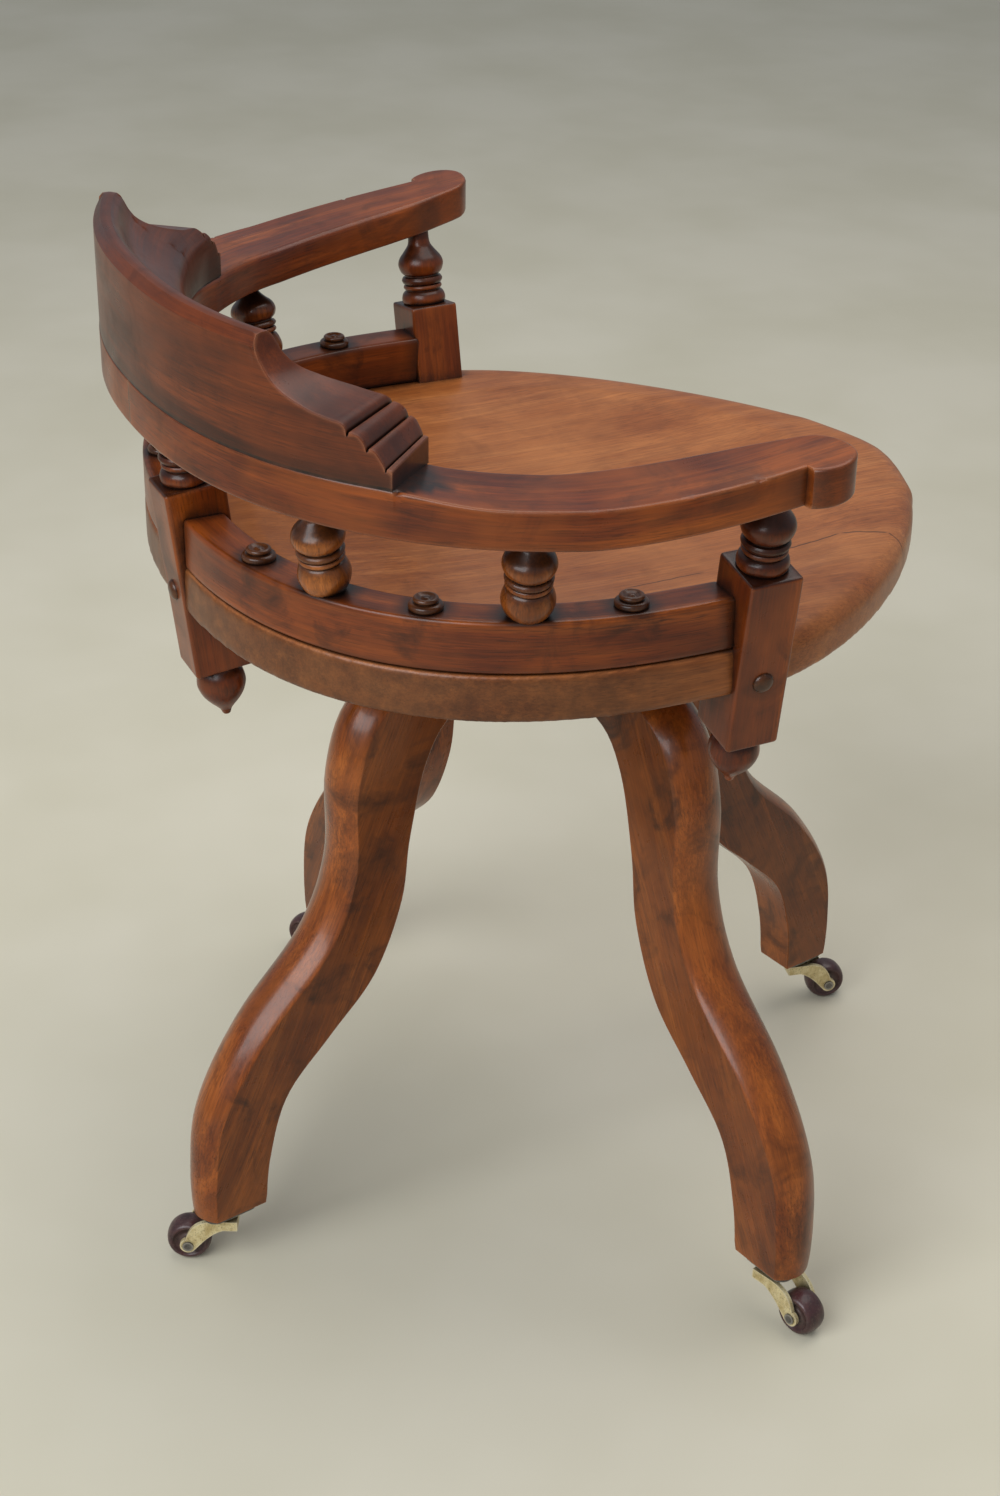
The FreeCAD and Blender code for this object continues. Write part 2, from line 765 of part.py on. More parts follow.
def make_pivot():
    shaft = rod(pivot_radius, pivot_bottom, seat_underside - fit_gap)
    hole = Part.makeCylinder(cotter_radius + running_gap, 4.0 * pivot_radius, V(-2.0 * pivot_radius, 0, cotter_level),
                             V(1, 0, 0))
    return shaft.cut(hole).Solids[0]


def make_cotter():
    return Part.makeCylinder(cotter_radius, cotter_length, V(-cotter_length / 2.0, 0, cotter_level), V(1, 0, 0))


def make_retaining_washer():
    low = retaining_washer_top - retaining_washer_thickness
    bore = rod(pivot_radius + running_gap, low - 1.0, retaining_washer_top + 1.0)
    return rod(retaining_washer_radius, low, retaining_washer_top).cut(bore).Solids[0]


# Base


def socket_screw_points():
    return [V(socket_screw_circle * math.cos(a), socket_screw_circle * math.sin(a), 0)
            for a in [math.radians(front_leg_angle + 45.0 + 90.0 * i) for i in range(4)]]


def into_hub(shape):
    # Turns a screw head side up and sets it in the socket's flange.
    down = shape.copy()
    down.rotate(V(0, 0, 0), V(1, 0, 0), 180)
    return [shifted(down, point.x, point.y, flange_top) for point in socket_screw_points()]


def make_socket():
    tube = rod(socket_radius, socket_bottom, flange_top)
    flange = rod(socket_flange_radius, hub_top, flange_top)
    bore = rod(pivot_radius + running_gap, socket_bottom - 1.0, flange_top + 1.0)
    body = tube.fuse(flange).cut([bore] + into_hub(seat_screw(fit_gap)))
    return biggest_solid(body)


def make_thrust_washer():
    top = flange_top + thrust_washer_thickness
    bore = rod(pivot_radius + running_gap, flange_top - 1.0, top + 1.0)
    return rod(thrust_washer_radius, flange_top, top).cut(bore).Solids[0]


def leg_tenon(gap):
    half = leg_tenon_width / 2.0 + gap
    low = leg_tenon_level - leg_tenon_height / 2.0 - gap
    high = leg_tenon_level + leg_tenon_height / 2.0 + gap
    return box(hub_radius - leg_tenon_length - gap, hub_radius + 8.0, -half, half, low, high)


def leg_angles():
    return [front_leg_angle - 90.0 * i for i in range(len(leg_casters))]


def make_hub():
    body = rod(hub_radius, hub_bottom, hub_top)
    rims = [edge for edge in body.Edges if edge.BoundBox.ZMax - edge.BoundBox.ZMin < 0.01]
    body = body.makeFillet(hub_edge_round, rims)
    bore = rod(socket_radius + fit_gap, hub_bottom - 1.0, hub_top + 1.0)
    mortises = [turned_about_z(leg_tenon(fit_gap), angle) for angle in leg_angles()]
    return biggest_solid(body.cut([bore] + mortises + into_hub(seat_screw(fit_gap))))


def leg_side_slab():
    # The leg seen from the side, on the +X axis, pushed through its full width.
    start = hub_radius / 2.0
    front = [(start, leg_top_at_hub)] + list(leg_front_outline) + [(foot_outer_radius, foot_level)]
    back = [(start, leg_bottom_at_hub)] + list(leg_back_outline) + [(foot_inner_radius, foot_level)]
    front_points = [V(x, -leg_width, z) for x, z in front]
    back_points = [V(x, -leg_width, z) for x, z in back]
    edges = [spline(front_points), spline(back_points)]
    edges.append(Part.makeLine(front_points[0], back_points[0]))
    edges.append(Part.makeLine(front_points[-1], back_points[-1]))
    return flat_face(edges).extrude(V(0, 2.0 * leg_width, 0))


def leg_width_slab():
    # The leg seen from the front: full width down to the knee, then tapered.
    half = leg_width / 2.0
    left = [V(0, -foot_half_width, foot_level - 5.0), V(0, -ankle_half_width, leg_ankle_level)]
    left.append(V(0, -half, leg_knee_level))
    left += [V(0, -half, hub_bottom), V(0, -half, hub_top + 20.0)]
    right = [V(0, -point.y, point.z) for point in left]
    edges = [spline(left), spline(right), Part.makeLine(left[0], right[0]), Part.makeLine(left[-1], right[-1])]
    return flat_face(edges).extrude(V(foot_outer_radius + 50.0, 0, 0))


def leg_blank():
    # The front face's two long edges, the longest of all, are rounded into a pillow.
    body = leg_side_slab().common(leg_width_slab())
    long_edges = sorted(body.Edges, key=lambda edge: edge.Length)[-2:]
    body = body.makeFillet(leg_edge_round, long_edges)
    return body.cut(rod(hub_radius + fit_gap, 0.0, hub_top + 50.0))


def leg_cuts():
    # Room in the foot for the caster's pintle head and the plate screws.
    recess = rod(caster_pintle_head_radius + fit_gap, foot_level - 1.0,
                 foot_level + face_gap + caster_pintle_head_height + face_gap, caster_radius)
    return [recess] + at_caster(plate_screws(fit_gap))


def make_leg():
    body = leg_blank().fuse(leg_tenon(0.0)).cut(leg_cuts())
    return biggest_solid(body)


# Casters, in a frame with the swivel axis at X = Y = 0


def at_caster(shapes):
    return [shifted(shape, caster_radius, 0, 0) for shape in shapes]


def plate_screws(gap=0.0):
    screw = flat_head_screw(plate_screw_radius, plate_screw_head_radius, plate_screw_length, gap)
    return [shifted(screw, side * caster_plate_screw_reach, 0, plate_bottom) for side in (-1, 1)]


def caster_plate():
    half_length = caster_plate_length / 2.0
    half_width = caster_plate_width / 2.0
    plate = box(-half_length, half_length, -half_width, half_width, plate_bottom, foot_level)
    corners = [edge for edge in plate.Edges if edge.BoundBox.ZMax - edge.BoundBox.ZMin > 0.1]
    plate = plate.makeFillet(half_width * 0.6, corners)
    bore = rod(caster_pintle_radius + running_gap, plate_bottom - 1.0, foot_level + 1.0)
    return plate.cut([bore] + plate_screws(fit_gap)).Solids[0]


def fork_inner_half():
    return wheel_width / 2.0 + wheel_side_gap


def horn_cheek():
    # Flat cheek beside the wheel, from the bridge under the collar to the axle eye.
    top = plate_bottom - face_gap - caster_collar_height
    low = top - caster_bridge_drop
    back = -caster_collar_radius + 1.5
    eye = V(caster_trail, 0, wheel_radius)
    shape = [V(back, 0, low), V(back, 0, top), V(caster_collar_radius, 0, top)]
    outline = polyline(shape)
    over = V(caster_trail + horn_eye_radius * 0.25, 0, wheel_radius + horn_eye_radius * 0.968)
    under = V(caster_trail - horn_eye_radius * 0.8, 0, wheel_radius - horn_eye_radius * 0.6)
    outline.append(spline([shape[-1], V(caster_trail - 7.0, 0, top - 3.5), over]))
    far_point = V(eye.x + horn_eye_radius * 0.8, 0, eye.z - horn_eye_radius * 0.6)
    outline.append(Part.Arc(over, far_point, under).toShape())
    outline.append(spline([under, V(caster_trail * 0.42, 0, low - 6.0), V(caster_collar_radius * 0.4, 0, low - 1.0),
                           shape[0]]))
    face = flat_face(outline)
    inner = fork_inner_half()
    return [shifted(face.extrude(V(0, horn_cheek_thickness, 0)), 0, y, 0)
            for y in (inner, -inner - horn_cheek_thickness)]


def caster_horn():
    collar_top = plate_bottom - face_gap
    collar_bottom = collar_top - caster_collar_height
    pintle_top = foot_level + face_gap + caster_pintle_head_height
    outer_half = fork_inner_half() + horn_cheek_thickness
    bridge = box(-caster_collar_radius + 1.5, caster_collar_radius - 2.0, -outer_half, outer_half,
                 collar_bottom - caster_bridge_drop, collar_bottom)
    pieces = horn_cheek() + [rod(caster_collar_radius, collar_bottom, collar_top)]
    pieces.append(rod(caster_pintle_radius, collar_bottom, pintle_top))
    pieces.append(rod(caster_pintle_head_radius, foot_level + face_gap, pintle_top))
    axle_hole = Part.makeCylinder(axle_radius + running_gap, 4.0 * outer_half,
                                  V(caster_trail, -2.0 * outer_half, wheel_radius), V(0, 1, 0))
    return biggest_solid(bridge.fuse(pieces).cut(axle_hole))


def caster_axle():
    outer_half = fork_inner_half() + horn_cheek_thickness
    end = outer_half + axle_head_height
    pin = Part.makeCylinder(axle_radius, 2.0 * end, V(0, -end, 0), V(0, 1, 0))
    heads = [Part.makeCylinder(axle_head_radius, axle_head_height, V(0, y, 0), V(0, 1, 0))
             for y in (-end, outer_half)]
    return shifted(biggest_solid(pin.fuse(heads)), caster_trail, 0, wheel_radius)


def caster_wheel():
    half = wheel_width / 2.0
    tyre = Part.makeCylinder(wheel_radius, wheel_width, V(0, -half, 0), V(0, 1, 0))
    rims = [edge for edge in tyre.Edges if edge.BoundBox.YMax - edge.BoundBox.YMin < 0.01]
    tyre = tyre.makeFillet(wheel_edge_round, rims)
    bore = Part.makeCylinder(axle_radius + running_gap, 2.0 * wheel_width, V(0, -wheel_width, 0), V(0, 1, 0))
    return shifted(tyre.cut(bore).Solids[0], caster_trail, 0, wheel_radius)


def save_leg_group(name, leg_angle, caster_turn):
    # One leg with its caster plate, screws, horn, axle and wheel.
    save("leg_" + name, turned_about_z(make_leg(), leg_angle))
    save("caster_plate_" + name, turned_about_z(at_caster([caster_plate()])[0], leg_angle))
    moving = (("caster_horn_", caster_horn()), ("caster_axle_", caster_axle()), ("caster_wheel_", caster_wheel()))
    for prefix, shape in moving:
        swung = at_caster([turned_about_z(shape, caster_turn)])[0]
        save(prefix + name, turned_about_z(swung, leg_angle))


def main():
    os.makedirs("parts", exist_ok=True)

    # Seat and what it carries
    posts = make_posts()
    spindles = make_spindles()
    rail_screw_rooms = on_rail(rail_screw(fit_gap)) + on_rail(button_hole())
    spider_screw_rooms = under_spider(seat_screw(fit_gap))
    crest_screw_rooms = under_bow(crest_screw(fit_gap))
    save("seat_board", make_seat(posts, rail_screw_rooms + spider_screw_rooms))
    spindle_rooms = [spindle.rail_room() for spindle in spindles]
    for name, rail in make_rails([post.rail_notch() for post in posts] + rail_screw_rooms + spindle_rooms):
        save(name, rail)
    for post in posts:
        save(post.name, post.solid())
    save("post_bolts", [post.bolt() for post in posts])
    save("post_plugs", [post.plug() for post in posts])
    for spindle in spindles:
        save(spindle.name, spindle.solid())
    save("rail_buttons", on_rail(button()))
    save("rail_screws", on_rail(rail_screw()))
    bow_rooms = [post.tenon_room() for post in posts] + [spindle.bow_room() for spindle in spindles]
    for name, arm in make_arms(bow_rooms + crest_screw_rooms):
        save(name, arm)
    save("crest_rail", make_crest(crest_screw_rooms))
    save("crest_screws", under_bow(crest_screw()))

    # Seat iron
    save("seat_spider", make_spider())
    save("seat_screws", under_spider(seat_screw()))
    save("swivel_pivot", make_pivot())
    save("retaining_washer", make_retaining_washer())
    save("cotter_pin", make_cotter())

    # Base
    save("base_hub", make_hub())
    save("hub_socket", make_socket())
    save("socket_screws", into_hub(seat_screw()))
    save("thrust_washer", make_thrust_washer())
    plate_fasteners = []
    for (name, caster_turn), leg_angle in zip(leg_casters, leg_angles()):
        save_leg_group(name, leg_angle, caster_turn)
        plate_fasteners += [turned_about_z(screw, leg_angle) for screw in at_caster(plate_screws())]
    save("caster_screws", plate_fasteners)


main()
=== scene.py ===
import bpy
import json
import math
from mathutils import Matrix, Vector


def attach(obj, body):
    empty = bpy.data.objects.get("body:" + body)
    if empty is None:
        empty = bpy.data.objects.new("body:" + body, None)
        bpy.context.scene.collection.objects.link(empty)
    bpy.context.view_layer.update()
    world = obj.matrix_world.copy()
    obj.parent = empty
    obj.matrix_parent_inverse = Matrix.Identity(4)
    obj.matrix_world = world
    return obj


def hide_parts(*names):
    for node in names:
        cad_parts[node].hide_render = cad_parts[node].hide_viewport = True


# Swivel desk chair, dressed over its fixed model. Metres, sitter faces -Y, floor at Z = 0.

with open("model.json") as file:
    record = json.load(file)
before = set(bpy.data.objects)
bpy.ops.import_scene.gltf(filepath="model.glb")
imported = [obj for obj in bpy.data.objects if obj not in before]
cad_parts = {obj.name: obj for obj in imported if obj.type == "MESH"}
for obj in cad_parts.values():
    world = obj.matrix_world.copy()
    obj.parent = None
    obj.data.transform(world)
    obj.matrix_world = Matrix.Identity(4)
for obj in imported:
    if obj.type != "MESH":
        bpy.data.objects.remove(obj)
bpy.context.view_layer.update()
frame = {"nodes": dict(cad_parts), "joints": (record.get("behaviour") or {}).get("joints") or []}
nodes = frame["nodes"]
joints = {joint["name"]: joint for joint in frame["joints"]}
print("frame loaded:", len(nodes), "nodes")


# Workshop helpers

def letGo():
    bpy.ops.object.select_all(action='DESELECT')


def pick(piece):
    letGo()
    piece.select_set(True)
    bpy.context.view_layer.objects.active = piece


def applyModifier(piece, kind, **settings):
    pick(piece)
    modifier = piece.modifiers.new(kind.lower(), kind)
    for key, value in settings.items():
        setattr(modifier, key, value)
    bpy.ops.object.modifier_apply(modifier=modifier.name)


def applyPlace(piece, place=None):
    if place is not None:
        piece.matrix_world = place @ piece.matrix_world
    pick(piece)
    bpy.ops.object.transform_apply(location=True, rotation=True, scale=True)


def editing(piece, chosen='SELECT'):
    pick(piece)
    bpy.ops.object.mode_set(mode='EDIT')
    bpy.ops.mesh.select_all(action=chosen)


def editDone():
    bpy.ops.object.mode_set(mode='OBJECT')


def outwardFaces(piece):
    editing(piece)
    bpy.ops.mesh.remove_doubles(threshold=0.00002)
    bpy.ops.mesh.normals_make_consistent(inside=False)
    editDone()


def joined(name, pieces):
    letGo()
    for piece in pieces:
        piece.select_set(True)
    bpy.context.view_layer.objects.active = pieces[0]
    bpy.ops.object.join()
    pieces[0].name = name
    return pieces[0]


def copied(piece, name):
    other = piece.copy()
    other.data = piece.data.copy()
    other.name = name
    bpy.context.scene.collection.objects.link(other)
    return other


def thrownAway(piece):
    bpy.data.objects.remove(piece, do_unlink=True)


def cutAway(piece, cutter):
    applyModifier(piece, 'BOOLEAN', operation='DIFFERENCE', object=cutter, solver='EXACT')
    thrownAway(cutter)


def worn(piece, voxel, rounds):
    # an even skin of small faces whose edges are rubbed soft
    applyModifier(piece, 'REMESH', mode='VOXEL', voxel_size=voxel, adaptivity=0.0)
    applyModifier(piece, 'SMOOTH', factor=0.5, iterations=rounds)


def flatBlank(name, outline):
    # a filled loop with its corners set on an outline
    letGo()
    bpy.ops.mesh.primitive_circle_add(vertices=len(outline), radius=0.1, fill_type='NGON')
    blank = bpy.context.object
    blank.name = name
    for vertex, point in zip(blank.data.vertices, outline):
        vertex.co = point
    return blank


def squaredBlock(centre, size, arris, segments):
    # a plain block with its arrises taken off
    letGo()
    bpy.ops.mesh.primitive_cube_add(size=1, location=centre)
    block = bpy.context.object
    block.scale = size
    applyPlace(block)
    editing(block)
    bpy.ops.mesh.bevel(offset=arris, segments=segments, affect='EDGES')
    editDone()
    return block


def skin(name, rings):
    # a grid whose rows are laid on closed rings of points, like cloth round a form
    rows, around = len(rings), len(rings[0])
    letGo()
    bpy.ops.mesh.primitive_grid_add(x_subdivisions=around, y_subdivisions=rows - 1, size=1)
    cloth = bpy.context.object
    cloth.name = name
    corners = [point for ring in rings for point in list(ring) + [ring[0]]]
    for vertex, point in zip(cloth.data.vertices, corners):
        vertex.co = point
    outwardFaces(cloth)
    editing(cloth, 'DESELECT')
    bpy.ops.mesh.select_non_manifold()
    bpy.ops.mesh.fill_holes(sides=0)
    editDone()
    outwardFaces(cloth)
    return cloth


def easing(value, low, high):
    t = min(max((value - low) / (high - low), 0.0), 1.0)
    return t * t * (3 - 2 * t)


def smoothRun(points, spans):
    # a smooth line through a few points, Catmull-Rom
    ends = [points[0]] + list(points) + [points[-1]]
    made = []
    for a, b, c, d in zip(ends, ends[1:], ends[2:], ends[3:]):
        for i in range(spans):
            t = i / spans
            made.append(tuple(
                0.5 * (2 * q + (r - p) * t + (2 * p - 5 * q + 4 * r - s) * t * t + (3 * q - p - 3 * r + s) * t ** 3)
                for p, q, r, s in zip(a, b, c, d)))
    return made + [tuple(points[-1])]


def runPoints(runs, spans):
    # each run starts where the last one ended, and reaches one point straight or more of them smoothly
    made = [runs[0][0]]
    for run in [runs[0][1:], *runs[1:]]:
        part = [made[-1], *run]
        made += run if len(run) == 1 else smoothRun(part, spans)[1:]
    return made


def turnedPiece(name, runs, spans=4, sides=72):
    # lathe work: a disc pulled up step by step and resized; runs of (radius, height) in millimetres
    runs = [[(radius / 1000, height / 1000) for radius, height in run] for run in runs]
    profile = [(max(radius, 0.0003), height) for radius, height in runPoints(runs, spans)]
    letGo()
    radius, height = profile[0]
    bpy.ops.mesh.primitive_circle_add(vertices=sides, radius=radius, fill_type='NGON', location=(0, 0, height))
    piece = bpy.context.object
    piece.name = name
    editing(piece)
    for (r0, z0), (r1, z1) in zip(profile, profile[1:]):
        bpy.ops.mesh.extrude_region_move(TRANSFORM_OT_translate={"value": (0, 0, z1 - z0)})
        bpy.ops.transform.resize(value=(r1 / r0, r1 / r0, 1), center_override=(0, 0, z1))
    editDone()
    applyPlace(piece)
    outwardFaces(piece)
    return piece


def readOff(points, place):
    # the value at a place, on straight lines between (place, value) points
    for (p0, v0), (p1, v1) in zip(points, points[1:]):
        if place <= p1:
            return v0 + (v1 - v0) * (place - p0) / (p1 - p0)
    return points[-1][1]


def markGrain(piece, along, across, third, shift):
    # remembers how the wood runs in the piece before it is bent or set in place
    layer = piece.data.attributes.new("grain", 'FLOAT_VECTOR', 'POINT')
    for vertex, item in zip(piece.data.vertices, layer.data):
        item.vector = (vertex.co.dot(along) + shift, vertex.co.dot(across) + 0.37 * shift, vertex.co.dot(third))


def markShade(piece, rule):
    # where grime settles and where painted shade falls: rule(place, facing) gives 0 for rubbed wood to 1 for black
    layer = piece.data.attributes.new("shade", 'FLOAT', 'POINT')
    for vertex, item in zip(piece.data.vertices, layer.data):
        item.value = min(max(rule(vertex.co, vertex.normal), 0.0), 1.0)


xWay, yWay, zWay = Vector((1, 0, 0)), Vector((0, 1, 0)), Vector((0, 0, 1))


def ovalPoint(shape, turn, inset=0.0):
    # plan curve of the seat and bow: turn 0 is the middle of the back, +90 the +X side
    sine, cosine = math.sin(math.radians(turn)), math.cos(math.radians(turn))
    share = 2.0 / shape["power"]
    x = (shape["halfWidth"] - inset) * math.copysign(abs(sine) ** share, sine)
    y = shape["centreY"] + (shape["depth"] - inset) * math.copysign(abs(cosine) ** share, cosine)
    return Vector((x, y, 0))


def bendingPath(name, shape, inset, frontY):
    # from the front of the -X side round the back to the front of the +X side
    steps = 480
    line = [ovalPoint(shape, -90 + 180 * i / steps, inset) for i in range(steps + 1)]
    straight = [Vector((line[0].x, frontY + (line[0].y - frontY) * i / 8, 0)) for i in range(8)]
    line = straight + line + [Vector((-point.x, point.y, 0)) for point in reversed(straight)]
    curve = bpy.data.curves.new(name, 'CURVE')
    curve.dimensions = '2D'
    spline = curve.splines.new('NURBS')
    spline.points.add(len(line) - 1)
    for place, point in zip(spline.points, line):
        place.co = (point.x, point.y, 0, 1)
    spline.use_endpoint_u = True
    spline.order_u = 3
    path = bpy.data.objects.new(name, curve)
    bpy.context.scene.collection.objects.link(path)
    length = sum((b - a).length for a, b in zip(line, line[1:]))
    return path, length, line


def alongPath(line, wanted):
    # length along a path up to where wanted(point) first holds
    run = 0.0
    for a, b in zip(line, line[1:]):
        if wanted(b):
            return run
        run += (b - a).length
    return run


def dress(piece, name, body, material, replaced=(), angle=32):
    piece.name = name
    piece.data.name = name
    piece.data.materials.clear()
    piece.data.materials.append(material)
    pick(piece)
    bpy.ops.object.shade_smooth_by_angle(angle=math.radians(angle))
    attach(piece, body)
    if replaced:
        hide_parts(*replaced)
    return piece


# Finishes

def tone(red, green, blue):
    # a colour as it looks, 0 to 255, as the shader wants it
    return tuple(((v / 255 + 0.055) / 1.055) ** 2.4 if v > 10 else v / 3295 for v in (red, green, blue)) + (1.0,)


class Sheet:
    # a small drawing board for one material's nodes
    def __init__(self, name):
        self.material = bpy.data.materials.new(name)
        self.material.use_nodes = True
        self.tree = self.material.node_tree
        self.shader = self.tree.nodes["Principled BSDF"]

    def node(self, kind, **values):
        made = self.tree.nodes.new("ShaderNode" + kind)
        for key, value in values.items():
            if hasattr(made, key):
                setattr(made, key, value)
            else:
                made.inputs[key.replace("_", " ")].default_value = value
        return made

    def link(self, output, target):
        self.tree.links.new(output, target)

    def sum(self, operation, first, second, clamp=False):
        made = self.node("Math", operation=operation, use_clamp=clamp)
        for socket, value in zip(made.inputs, (first, second)):
            if isinstance(value, (int, float)):
                socket.default_value = value
            else:
                self.link(value, socket)
        return made.outputs[0]

    def ramp(self, source, stops):
        made = self.node("ValToRGB")
        points = made.color_ramp.elements
        for place, colour in stops[1:-1]:
            points.new(place)
        for point, (place, colour) in zip(points, stops):
            point.position = place
            point.color = colour if hasattr(colour, "__len__") else (colour, colour, colour, 1)
        self.link(source, made.inputs[0])
        return made.outputs[0]

    def blend(self, share, first, second, way='MIX'):
        made = self.node("Mix", data_type='RGBA', blend_type=way)
        for socket, value in ((made.inputs[0], share), (made.inputs[6], first), (made.inputs[7], second)):
            if isinstance(value, (int, float, tuple)):
                socket.default_value = value
            else:
                self.link(value, socket)
        return made.outputs[2]

    def noise(self, place, scale, detail=3.0, roughness=0.55, stretch=(1, 1, 1), distortion=0.0):
        moved = self.node("Mapping", Scale=stretch)
        self.link(place, moved.inputs["Vector"])
        made = self.node("TexNoise", Scale=scale, Detail=detail, Roughness=roughness, Distortion=distortion)
        self.link(moved.outputs[0], made.inputs["Vector"])
        return made.outputs["Fac"]

    def crevice(self, distance, inside=False):
        # ambient occlusion: low in shut places, which get painted shade, and seen from inside, low on the arrises
        made = self.node("AmbientOcclusion", samples=6, inside=inside, only_local=inside, Distance=distance)
        return made.outputs["AO"]

    def finish(self, colour, gloss, relief, strength, depth, values):
        bump = self.node("Bump", Strength=strength, Distance=depth)
        self.link(relief, bump.inputs["Height"])
        for output, name in ((colour, "Base Color"), (gloss, "Roughness"), (bump.outputs[0], "Normal")):
            self.link(output, self.shader.inputs[name])
        for name, value in values.items():
            self.shader.inputs[name].default_value = value
        return self.material


def scratch(sheet, place, first, last, width, wobble=0.0015):
    # a thin wavering line drawn on the top between two points in plan
    run = Vector((last[0] - first[0], last[1] - first[1], 0))
    moved = sheet.node("VectorMath", operation='SUBTRACT')
    sheet.link(place, moved.inputs[0])
    moved.inputs[1].default_value = (first[0], first[1], 0)
    measured = []
    for way in (run / run.length_squared, Vector((-run.y, run.x, 0)).normalized()):
        dot = sheet.node("VectorMath", operation='DOT_PRODUCT')
        sheet.link(moved.outputs[0], dot.inputs[0])
        dot.inputs[1].default_value = way
        measured.append(dot.outputs["Value"])
    waver = sheet.sum('MULTIPLY', sheet.sum('SUBTRACT', sheet.noise(place, 70, 3.0, 0.6), 0.5), wobble * 2)
    aside = sheet.sum('ABSOLUTE', sheet.sum('ADD', measured[1], waver), 0)
    thin = sheet.sum('SUBTRACT', 1.0, sheet.sum('DIVIDE', aside, width), True)
    inside = sheet.sum('SUBTRACT', 0.5, sheet.sum('ABSOLUTE', sheet.sum('SUBTRACT', measured[0], 0.5), 0))
    return sheet.sum('MULTIPLY', thin, sheet.sum('MULTIPLY', inside, 12.0, True))


# scale, detail, roughness, stretch along the grain, distortion
woodFigure = {"bands": (34, 2.0, 0.5, (0.10, 1, 1), 0.9), "figure": (95, 4.0, 0.6, (0.07, 1, 1), 0.6),
              "fibres": (620, 3.0, 0.6, (0.035, 1, 1)), "pores": (1500, 1.0, 0.5, (0.05, 1, 1))}


def polishedWood(name, look):
    # old polished hardwood: banded figure, fine fibres, pores, grime and painted shade in the crevices, rubbed
    # arrises
    sheet = Sheet(name)
    place = sheet.node("TexCoord").outputs["Object"]
    grain = sheet.node("Attribute", attribute_name="grain").outputs["Vector"] if look["marked"] else place
    bands, figure, fibres, pores = (sheet.noise(grain, *values) for values in woodFigure.values())
    clouds = sheet.noise(place, 11, 3.0, 0.6)
    stains = sheet.noise(place, 23, 5.0, 0.62, (1, 1, 1), 0.8)
    colour = sheet.ramp(bands, ((0.30 - look["contrast"], look["deep"]), (0.50, look["middle"]),
                                (0.72 + look["contrast"], look["light"])))
    for source, stops, kind in ((figure, ((0.36, 0.80), (0.62, 0.0)), "deep"),
                                (fibres, ((0.40, 0.42), (0.60, 0.0)), "dark"),
                                (pores, ((0.33, 0.55), (0.42, 0.0)), "dark"),
                                (clouds, ((0.40, 0.0), (0.70, 0.45)), "light"),
                                (stains, ((0.53, 0.0), (0.70, look["staining"])), "dark")):
        colour = sheet.blend(sheet.ramp(source, stops), colour, look[kind])
    # rubbed arrises take the worn tone; on the arms this also paints a reflection
    edges = sheet.ramp(sheet.crevice(0.0035, True), ((0.45, 0.9), (0.80, 0.0)))
    rubbed = sheet.sum('MULTIPLY', edges, sheet.ramp(stains, ((0.30, 0.35), (0.60, 1.0))))
    colour = sheet.blend(sheet.sum('MULTIPLY', rubbed, look["rubbing"]), colour, look["worn"])
    # painted shade in the crevices and between parts, broken up by noise like grime
    uneven = sheet.noise(place, 160, 3.0, 0.6)
    creviceShadeAndDirt = sheet.sum('ADD', sheet.crevice(look["reach"]), sheet.sum('MULTIPLY', uneven, 0.34))
    grimeAndShade = sheet.ramp(creviceShadeAndDirt, ((0.66, look["grimeAndShade"]), (1.04, 0.0)))
    if look["shaded"]:
        # the marked grime, and painted shade under things
        markedGrimeAndShade = sheet.node("Attribute", attribute_name="shade").outputs["Fac"]
        broken = sheet.ramp(sheet.noise(place, 95, 4.0, 0.6), ((0.30, 0.72), (0.62, 1.0)))
        grimeAndShade = sheet.sum('MAXIMUM', grimeAndShade, sheet.sum('MULTIPLY', markedGrimeAndShade, broken))
    for mark in look.get("scratches", ()):
        grimeAndShade = sheet.sum('MAXIMUM', grimeAndShade, scratch(sheet, place, *mark))
    # grime, cracks and painted shade darken towards the dirt colour
    colour = sheet.blend(grimeAndShade, colour, look["dirt"])
    gloss = sheet.ramp(stains, ((0.30, look["gloss"]), (0.75, look["gloss"] + 0.12)))
    gloss = sheet.sum('ADD', gloss, sheet.sum('MULTIPLY', fibres, 0.05), True)
    relief = sheet.sum('ADD', sheet.sum('MULTIPLY', fibres, 0.22), sheet.sum('MULTIPLY', clouds, 2.2))
    relief = sheet.sum('ADD', relief, sheet.sum('MULTIPLY', stains, 0.9))
    return sheet.finish(colour, gloss, relief, 0.20, 0.0006, {
        "IOR": 1.5, "Specular IOR Level": look["shine"], "Coat Weight": look["coat"], "Coat Roughness": 0.10})


def oldMetal(name, look):
    # worn metal: tarnish in clouds, specks of dirt, painted shade in the corners, fine scratches in the gloss
    sheet = Sheet(name)
    place = sheet.node("TexCoord").outputs["Object"]
    clouds = sheet.noise(place, 130, 4.0, 0.62)
    specks = sheet.noise(place, 900, 2.0, 0.6)
    colour = sheet.ramp(clouds, ((0.35, look["dull"]), (0.62, look["bright"])))
    colour = sheet.blend(sheet.ramp(specks, ((0.56, 0.0), (0.68, 0.5))), colour, look["dirt"])
    rubbed = sheet.ramp(sheet.crevice(0.0016, True), ((0.45, 0.7), (0.8, 0.0)))
    colour = sheet.blend(rubbed, colour, look["rubbed"])
    # painted shade in the corners
    creviceShadeAndDirt = sheet.ramp(sheet.crevice(0.006), ((0.35, 0.85), (0.85, 0.0)))
    colour = sheet.blend(creviceShadeAndDirt, colour, look["dirt"])
    gloss = sheet.ramp(clouds, ((0.3, look["rough"] + 0.2), (0.7, look["rough"])))
    relief = sheet.sum('ADD', clouds, sheet.sum('MULTIPLY', specks, 0.5))
    return sheet.finish(colour, gloss, relief, 0.35, 0.0003, {"Metallic": look["metallic"]})
